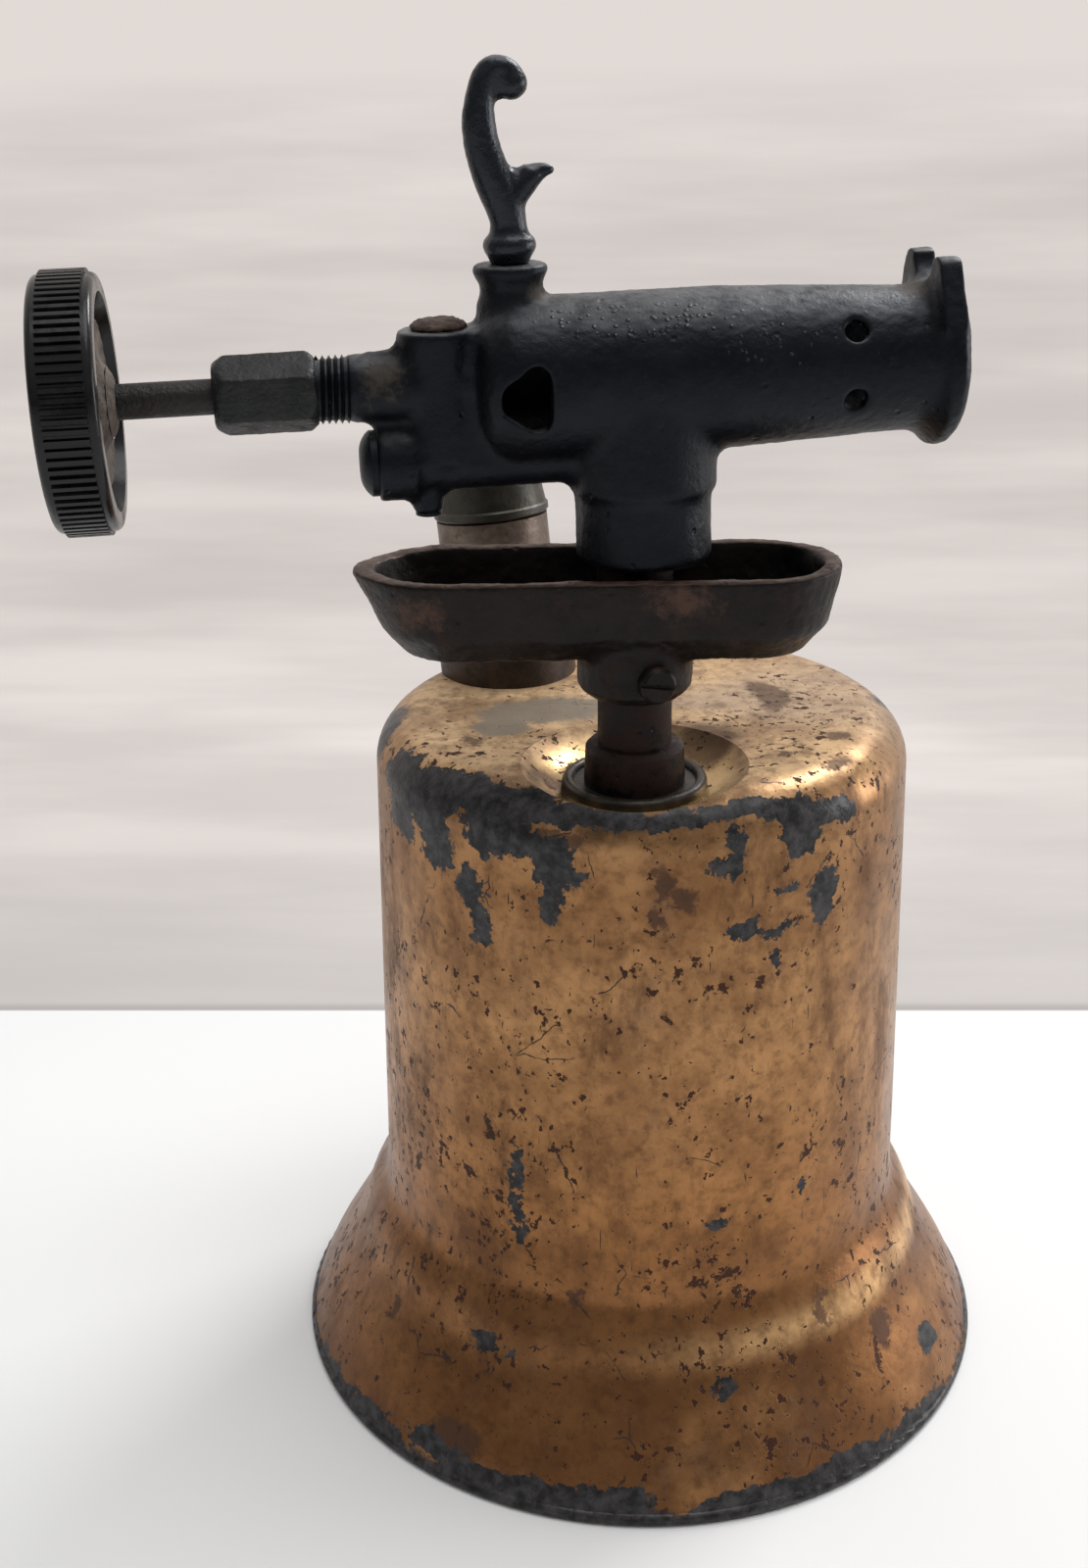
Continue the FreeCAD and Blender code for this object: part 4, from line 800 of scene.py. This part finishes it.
def burnt_iron(name, tones, sheen, ash_and_sheen, bloom, rust_share, rust_colour,
               spots=(), spot_colour=None, pimples=(), gloss=0.0):
    """Iron in three dark tones, with ash and a painted sheen on top, rust, placed spots of rust and sand
    pimples with painted highlights.
    """
    f = Finish(name)
    patchy = f.noise(9, 5, 0.6)
    fine = f.noise(0.8, 4, 0.6)
    colour = f.blend(f.mask(patchy, 0.35, 0.7), tones[0], tones[1])
    colour = f.layer(colour, f.mask(fine, 0.52, 0.75), 0.6, tones[2])
    # Lighter tops: partly settled ash, partly a painted sheen of the overhead light.
    lighter_top = f.times(f.mask(f.facing_up(), 0.55, 1.0), f.mask(f.noise(4, 5, 0.65), 0.20, 0.65))
    colour = f.layer(colour, lighter_top, bloom, ash_and_sheen)
    damp = f.noise(7, 6, 0.7, f.stretched((1, 1, 1.4), (0.2, 0.5, 0.1)))
    rust = f.mask(damp, 0.74 - rust_share, 0.84 - rust_share)
    colour = f.layer(colour, rust, 0.8, rust_colour)
    if spots:
        ragged = f.times(f.minus(f.noise(2.6, 6, 0.75), 0.5), 2.4)
        near = f.mask(f.plus(f.depth_in(spots), ragged), 0.05, 0.95)
        colour = f.layer(colour, near, 0.9, spot_colour)
        rust = f.larger(rust, near)
    hollow, tint = f.cells(2.2, f.wobbled(1.5, 1.0))
    chance, _, _ = f.split(tint)
    pit = f.times(f.mask(hollow, 0.32, 0.05), f.mask(chance, 0.16, 0.10))
    rough = f.plus(f.between(fine, 0.28 - gloss, 0.52 - gloss), f.times(rust, 0.22))
    skin = f.bump(f.noise(0.6, 4, 0.6), 0.10)
    skin = f.bump(f.minus(1.0, pit), 0.18, skin)
    if pimples:
        beads, bead_tint = f.cells(1.1, f.wobbled(2.0, 0.8))
        bead_chance, _, _ = f.split(bead_tint)
        zone = f.plus(f.depth_in(pimples), f.times(f.noise(6, 3), 0.8))
        zone = f.mask(zone, 0.45, 0.75)
        bead = f.times(f.mask(beads, 0.40, 0.12), f.mask(bead_chance, 0.50, 0.44))
        bead = f.times(bead, zone)
        # Painted highlights on the raised sand pimples.
        colour = f.layer(colour, bead, 0.5, BEAD_HIGHLIGHT_GREY)
        skin = f.bump(bead, 0.35, skin)
    return f.finish(Base_Color=colour, Roughness=rough, Metallic=0.12,
                    Specular_IOR_Level=0.22 + 2 * gloss, Specular_Tint=sheen, Normal=skin)


print("iron helper:", burnt_iron.__name__)

# %% Irons of the head, hook, cup and riser
RUST_ON_BLACK = (0.030, 0.022, 0.017)
# Each iron has a dark, a middle and a light tone.
BLACK = ((0.0018, 0.0021, 0.0040), (0.0052, 0.0056, 0.0082), (0.0105, 0.0110, 0.0140))
SOOTY = ((0.0030, 0.0022, 0.0024), (0.0085, 0.0060, 0.0056), (0.0165, 0.0115, 0.0100))
# A spot on a casting is (centre, half sizes), in millimetres.
HEAD_RUST = (((41.0, -33.0, 230.0), (5.0, 7.0, 4.0)), ((-22.0, -34.0, 232.0), (7.0, 7.0, 3.0)),
             ((-51.0, -35.0, 219.0), (5.0, 8.0, 6.0)))
SAND_PIMPLES = (((-8.0, -40.0, 227.5), (24.0, 5.0, 4.5)), ((16.0, -43.0, 223.0), (12.0, 4.0, 4.0)))
CUP_RUST = (((-1.0, -45.5, 180.0), (9.0, 5.0, 5.0)), ((-46.0, -36.0, 178.0), (8.0, 8.0, 5.0)))
BLUE_SHEEN = (0.84, 0.91, 1.0)
WARM_SHEEN = (1.0, 0.91, 0.86)
head_iron = burnt_iron(
    "head_iron", BLACK, BLUE_SHEEN, ash_and_sheen=(0.150, 0.155, 0.163), bloom=0.8,
    rust_share=0.02, rust_colour=RUST_ON_BLACK,
    spots=HEAD_RUST, spot_colour=(0.062, 0.050, 0.038), pimples=SAND_PIMPLES)
# The hook's lighter, bluer top is mostly a painted highlight of the overhead light.
hook_iron = burnt_iron(
    "hook_iron", BLACK, BLUE_SHEEN, ash_and_sheen=(0.210, 0.220, 0.240), bloom=0.9,
    rust_share=0.02, rust_colour=RUST_ON_BLACK, gloss=0.12)
cup_iron = burnt_iron(
    "cup_iron", SOOTY, WARM_SHEEN, ash_and_sheen=(0.105, 0.062, 0.045), bloom=0.9,
    rust_share=0.20, rust_colour=(0.024, 0.014, 0.011),
    spots=CUP_RUST, spot_colour=(0.085, 0.045, 0.032))
riser_iron = burnt_iron(
    "riser_iron", SOOTY, WARM_SHEEN, ash_and_sheen=(0.060, 0.045, 0.038), bloom=0.3,
    rust_share=0.30, rust_colour=(0.026, 0.012, 0.011))
for piece, material in ((burner, head_iron), (hook, hook_iron), (cup, cup_iron), (thread, head_iron)):
    coat(piece, material)
paint(hook_iron, "soldering_hook")
paint(head_iron, "burner_body", "end_plug", "bottom_plug")
paint(cup_iron, "priming_cup", "cup_set_screw")
paint(riser_iron, "riser_tube", "riser_collar")

# %% [markdown]
# ## Steel, rust and brass
# The small turned pieces are steel or brass, in several states. The nut and the stem are dark,
# pitted steel. The top plug, the knob's screw and the disc in the knob have rusted. The pump is
# brass gone brown, the bushing in the dish is darker still, and the brass inside the tank and the
# valve is clean. Each finish is a darker and a lighter tone mixed by noise, with a second noise for
# roughness so that the shine breaks up. One table keeps them side by side, so that they are easy
# to compare.

# %% Metal finishes
def old_metal(name, dark, light, stain, metallic, rough, grain):
    """Metal in two tones with stains, uneven shine and a fine grain."""
    f = Finish(name)
    patchy = f.noise(4.5, 5, 0.6)
    fine = f.noise(0.7, 3)
    colour = f.blend(f.mask(patchy, 0.32, 0.68), dark, light)
    stained = f.mask(f.noise(6, 6, 0.7, f.stretched((1, 1, 1), (0.4, 0.2, 0.7))), 0.52, 0.66)
    colour = f.layer(colour, stained, 0.7, stain)
    shine = f.plus(f.between(fine, rough - 0.1, rough + 0.12), f.times(stained, 0.12))
    skin = f.bump(f.plus(fine, f.noise(2.0, 3)), grain)
    return f.finish(Base_Color=colour, Roughness=shine, Metallic=metallic, Normal=skin)


print("metal helper:", old_metal.__name__)

# %% Metals and the pieces made of them
# Each metal is (dark tone, light tone, stain, metallic, roughness, depth of the grain in millimetres).
OLD_METALS = {
    "dark_steel": ((0.0045, 0.005, 0.0062), (0.016, 0.017, 0.018), (0.009, 0.009, 0.010), 0.35, 0.46, 0.22),
    "worn_stem": ((0.005, 0.0042, 0.004), (0.015, 0.012, 0.011), (0.020, 0.011, 0.008), 0.25, 0.5, 0.22),
    "rusty_steel": ((0.040, 0.022, 0.015), (0.085, 0.048, 0.032), (0.026, 0.018, 0.015), 0.1, 0.68, 0.25),
    "dusty_rust": ((0.060, 0.045, 0.036), (0.150, 0.120, 0.100), (0.055, 0.032, 0.022), 0.0, 0.78, 0.25),
    "tan_brass": ((0.085, 0.060, 0.044), (0.190, 0.140, 0.110), (0.060, 0.036, 0.022), 0.45, 0.42, 0.06),
    "olive_brass": ((0.020, 0.017, 0.012), (0.046, 0.040, 0.028), (0.016, 0.012, 0.008), 0.4, 0.40, 0.06),
    "burnt_brass": ((0.022, 0.013, 0.009), (0.060, 0.036, 0.022), (0.016, 0.010, 0.007), 0.4, 0.45, 0.06),
    "ring_brass": ((0.018, 0.015, 0.012), (0.055, 0.044, 0.034), (0.014, 0.011, 0.009), 0.5, 0.36, 0.06),
    "bright_brass": ((0.42, 0.27, 0.10), (0.58, 0.40, 0.18), (0.20, 0.12, 0.05), 0.9, 0.35, 0.03),
    "polished_steel": ((0.42, 0.42, 0.42), (0.55, 0.55, 0.55), (0.30, 0.29, 0.28), 1.0, 0.22, 0.01)}
MADE_OF = {
    "dark_steel": ("packing_nut", "plunger_rod", "plunger_washer", "plunger_nut"),
    "worn_stem": ("valve_stem",),
    "rusty_steel": ("top_plug", "knob_screw"),
    "dusty_rust": ("knob_hub_plate",),
    "tan_brass": ("pump_barrel", "pump_guide"),
    "olive_brass": ("plunger_cap",),
    "burnt_brass": ("pump_flange",),
    "ring_brass": ("riser_bushing",),
    "bright_brass": ("filler_bush", "filler_plug", "feed_tube", "jet", "packing_follower",
                     "check_valve_body", "check_valve_cap"),
    "polished_steel": ("check_valve_ball",)}
metals = {name: old_metal(name, *values) for name, values in OLD_METALS.items()}
for piece, name in ((nut, "dark_steel"), (plug, "rusty_steel"), (disc, "dusty_rust")):
    coat(piece, metals[name])
for name, solids in MADE_OF.items():
    paint(metals[name], *solids)

# %% [markdown]
# ## Knob, leather, packing and gasket
# The knob is a moulding of hard black resin, still glossy, with patches of dust and a dusty inner
# face. The soft seals inside the pump and the valve never show, but the part may be opened up one
# day, so they get finishes too. One function does for all three, because leather, packing and
# fibre are all strands: a noise that is stretched along one axis.

# %% Knob
RESIN_BLACK = (0.0036, 0.0038, 0.0050)
RESIN_DUST = (0.017, 0.016, 0.016)
INNER_DUST = (0.058, 0.046, 0.040)


def knob_resin():
    """Black resin, dusty in patches and on the side that looks towards the torch."""
    f = Finish("knob_resin")
    dust = f.mask(f.noise(6, 5, 0.65), 0.48, 0.72)
    colour = f.layer(RESIN_BLACK, dust, 0.5, RESIN_DUST)
    inward, _, _ = f.split(f.add("ShaderNodeNewGeometry").outputs["Normal"])
    sheltered = f.times(f.mask(inward, 0.6, 0.95), f.mask(f.noise(5, 4, 0.6), 0.25, 0.7))
    colour = f.layer(colour, sheltered, 0.8, INNER_DUST)
    rough = f.plus(f.between(f.noise(1.2, 4), 0.16, 0.30), f.times(dust, 0.22))
    return f.finish(Base_Color=colour, Roughness=rough, Specular_IOR_Level=0.35,
                    Normal=f.bump(f.noise(1.4, 3), 0.03))


paint(knob_resin(), "control_knob")

# %% Leather, packing and gasket
def fibrous(name, dark, light, size, rough):
    """Strands in two tones, drawn out upwards."""
    f = Finish(name)
    strands = f.noise(size, 5, 0.65, f.stretched((1, 1, 0.35)))
    colour = f.blend(f.mask(strands, 0.35, 0.65), dark, light)
    return f.finish(Base_Color=colour, Roughness=f.between(strands, rough - 0.1, rough + 0.1),
                    Normal=f.bump(strands, 0.2))


# Each seal is (finish, dark tone, light tone, strand size in millimetres, roughness, solid).
SEALS = (
    ("oiled_leather", (0.060, 0.028, 0.012), (0.15, 0.075, 0.035), 1.2, 0.5, "plunger_leather"),
    ("graphite_packing", (0.015, 0.015, 0.016), (0.06, 0.06, 0.062), 0.5, 0.6, "valve_packing"),
    ("fibre_gasket", (0.05, 0.022, 0.014), (0.13, 0.06, 0.04), 0.8, 0.75, "filler_gasket"))
for name, dark, light, strand, rough, solid in SEALS:
    paint(fibrous(name, dark, light, strand, rough), solid)

# %% [markdown]
# ## Table, paper and light
# The torch stands on a white table in front of a sheet of warm pale paper. A standing backdrop would
# block every view from behind, so the floor itself changes tone along a line where the table ends.
# Far out it fades to the tone of the room, so that no horizon shows. One wide soft sun does the work
# of an overcast window, and two panels, one overhead and one at the right, add the glints.

# %% Floor
FLOOR_SIDE = 40.0
bpy.ops.object.select_all(action="DESELECT")
bpy.ops.mesh.primitive_plane_add(size=FLOOR_SIDE)
floor = bpy.context.object
floor.name = "table_floor"
print("floor", floor.dimensions.x, "m across")

# %% Table and paper
TABLE_EDGE_A = Vector((-0.1661, 0.1591))
TABLE_EDGE_B = Vector((0.1554, 0.1063))
edge_run = (TABLE_EDGE_B - TABLE_EDGE_A).normalized()
EDGE_BLUR = 0.0006
BACKDROP = (0.76, 0.70, 0.67)
TABLE_WHITE = (0.86, 0.865, 0.87)
PAPER_FOLD_SHADE, PAPER_FOLD_LIGHT = (0.71, 0.660, 0.636), (0.89, 0.828, 0.798)
PAPER_FOOT_SHADE = (0.50, 0.475, 0.460)
SEAM_GREY = (0.30, 0.29, 0.29)
NO_COLOUR = (0.0, 0.0, 0.0)


def table_and_paper():
    """White up to the table's edge, then paper with painted light and shade of its folds and painted shade
    at its foot, fading to the tone of the room.
    """
    f = Finish("table_and_paper")
    x, y, _ = f.split(f.place)
    past = f.plus(f.times(x, -edge_run.y), f.times(y, edge_run.x))
    edge_at = TABLE_EDGE_A.dot(Vector((-edge_run.y, edge_run.x)))
    paper = f.mask(past, edge_at - EDGE_BLUR, edge_at + EDGE_BLUR)
    seam = f.times(paper, f.mask(past, edge_at + 0.006, edge_at + 0.001))
    far = f.minus(past, edge_at)
    away = f.plus(f.larger(far, 0.0), 0.4)
    waves = f.add("ShaderNodeCombineXYZ")
    f.put(waves.inputs[0], f.math("DIVIDE", x, away))
    f.put(waves.inputs[1], f.math("DIVIDE", 2.2, away))
    # The folds of the paper are painted light and shade on the flat floor.
    fold_shading = f.mask(f.noise(0.45 / MM, 4, 0.55, waves.outputs[0]), 0.30, 0.72)
    tone = f.blend(fold_shading, PAPER_FOLD_SHADE, PAPER_FOLD_LIGHT)
    # Painted shade where the paper meets the table.
    tone = f.layer(tone, f.mask(far, 0.25, 0.0), 0.75, PAPER_FOOT_SHADE)
    colour = f.blend(paper, TABLE_WHITE, tone)
    colour = f.layer(colour, seam, 0.5, SEAM_GREY)
    reach = f.radius(x, y)
    distant = f.mask(reach, 1.0, 14.0)
    path = f.add("ShaderNodeLightPath")
    seen = f.larger(path.outputs["Is Camera Ray"], path.outputs["Is Glossy Ray"])
    glow = f.times(seen, f.between(distant, 0.03, 1.0))
    return f.finish(Base_Color=f.blend(distant, colour, NO_COLOUR), Roughness=0.6,
                    Emission_Color=f.blend(distant, colour, BACKDROP), Emission_Strength=glow,
                    Specular_IOR_Level=0.0)


floor.data.materials.append(table_and_paper())
print("floor finish:", floor.data.materials[0].name)

# %% Sun
sun_data = bpy.data.lights.new("window", "SUN")
sun_data.energy = 0.98
sun_data.angle = math.radians(40)
sun = bpy.data.objects.new("window", sun_data)
sun.rotation_euler = (math.radians(6), math.radians(12), 0)
bpy.context.scene.collection.objects.link(sun)
print(sun.name, "sun of strength", round(sun_data.energy, 2))

# %% Panels
def panel(name, place, aim, wide, high, watts):
    """A flat lamp that points at its aim and that the camera doesn't see."""
    data = bpy.data.lights.new(name, "AREA")
    data.shape = "RECTANGLE"
    data.size = wide
    data.size_y = high
    data.energy = watts
    data.spread = math.radians(60)
    lamp = bpy.data.objects.new(name, data)
    lamp.visible_camera = False
    lamp.location = place
    lamp.rotation_euler = (Vector(aim) - Vector(place)).to_track_quat("-Z", "Y").to_euler()
    bpy.context.scene.collection.objects.link(lamp)
    print(name, watts, "W")


panel("ceiling_panel", place=(0.52, 0.42, 0.82), aim=(0, 0, 0.18), wide=0.32, high=0.26, watts=0.52)
panel("right_window", place=(0.85, 0.00, 0.25), aim=(0, 0, 0.12), wide=0.5, high=0.4, watts=0.42)

# %% [markdown]
# ## The room round the torch
# Metal looks like metal because it mirrors a room. This one is bright overhead, like a pale ceiling,
# pale behind the torch, where the paper hangs, and dim in front. The camera itself sees the plain tone
# of the paper, so that the floor and the far room run together, and so do mirror images of what is
# behind the torch. A photographed room would be quicker, but this one can be changed by its numbers.

# %% Room
CEILING_TONE = (1.0, 0.985, 0.97)
world = bpy.data.worlds.new("studio")
world.use_nodes = True
bpy.context.scene.world = world
room = world.node_tree.nodes
wires = world.node_tree.links
ceiling = room["Background"]
ceiling.inputs["Color"].default_value = (*CEILING_TONE, 1.0)
direction = room.new("ShaderNodeTexCoord")
parts = room.new("ShaderNodeSeparateXYZ")
wires.new(direction.outputs["Generated"], parts.inputs[0])
print("room:", world.name)

# %% Brightness of the room
def fade(value, start, end, low, high):
    """A number that goes from low to high while the value goes from start to end."""
    node = room.new("ShaderNodeMapRange")
    node.interpolation_type = "SMOOTHSTEP"
    for name, number in (("From Min", start), ("From Max", end), ("To Min", low), ("To Max", high)):
        node.inputs[name].default_value = number
    wires.new(value, node.inputs["Value"])
    return node.outputs["Result"]


def combine(operation, a, b):
    """Two numbers added, multiplied or compared by a Math node."""
    node = room.new("ShaderNodeMath")
    node.operation = operation
    wires.new(a, node.inputs[0])
    wires.new(b, node.inputs[1])
    return node.outputs[0]


overhead = fade(parts.outputs["Z"], 0.0, 0.9, 0.14, 0.50)
behind = fade(parts.outputs["Y"], 0.0, 0.7, 0.0, 0.40)
wires.new(combine("ADD", overhead, behind), ceiling.inputs["Strength"])
print("room brightness from", len(room), "nodes")

# %% Paper behind the torch
backdrop = room.new("ShaderNodeBackground")
backdrop.inputs["Color"].default_value = (*BACKDROP, 1.0)

light_path = room.new("ShaderNodeLightPath").outputs
mirrored = combine("MAXIMUM", light_path["Is Glossy Ray"], light_path["Is Transmission Ray"])
mirrored_paper = combine("MULTIPLY", mirrored, fade(parts.outputs["Y"], 0.2, 0.8, 0.0, 1.0))
chooser = room.new("ShaderNodeMixShader")
wires.new(combine("MAXIMUM", light_path["Is Camera Ray"], mirrored_paper), chooser.inputs[0])
wires.new(ceiling.outputs[0], chooser.inputs[1])
wires.new(backdrop.outputs[0], chooser.inputs[2])
wires.new(chooser.outputs[0], room["World Output"].inputs["Surface"])
print("room with its paper from", len(room), "nodes")
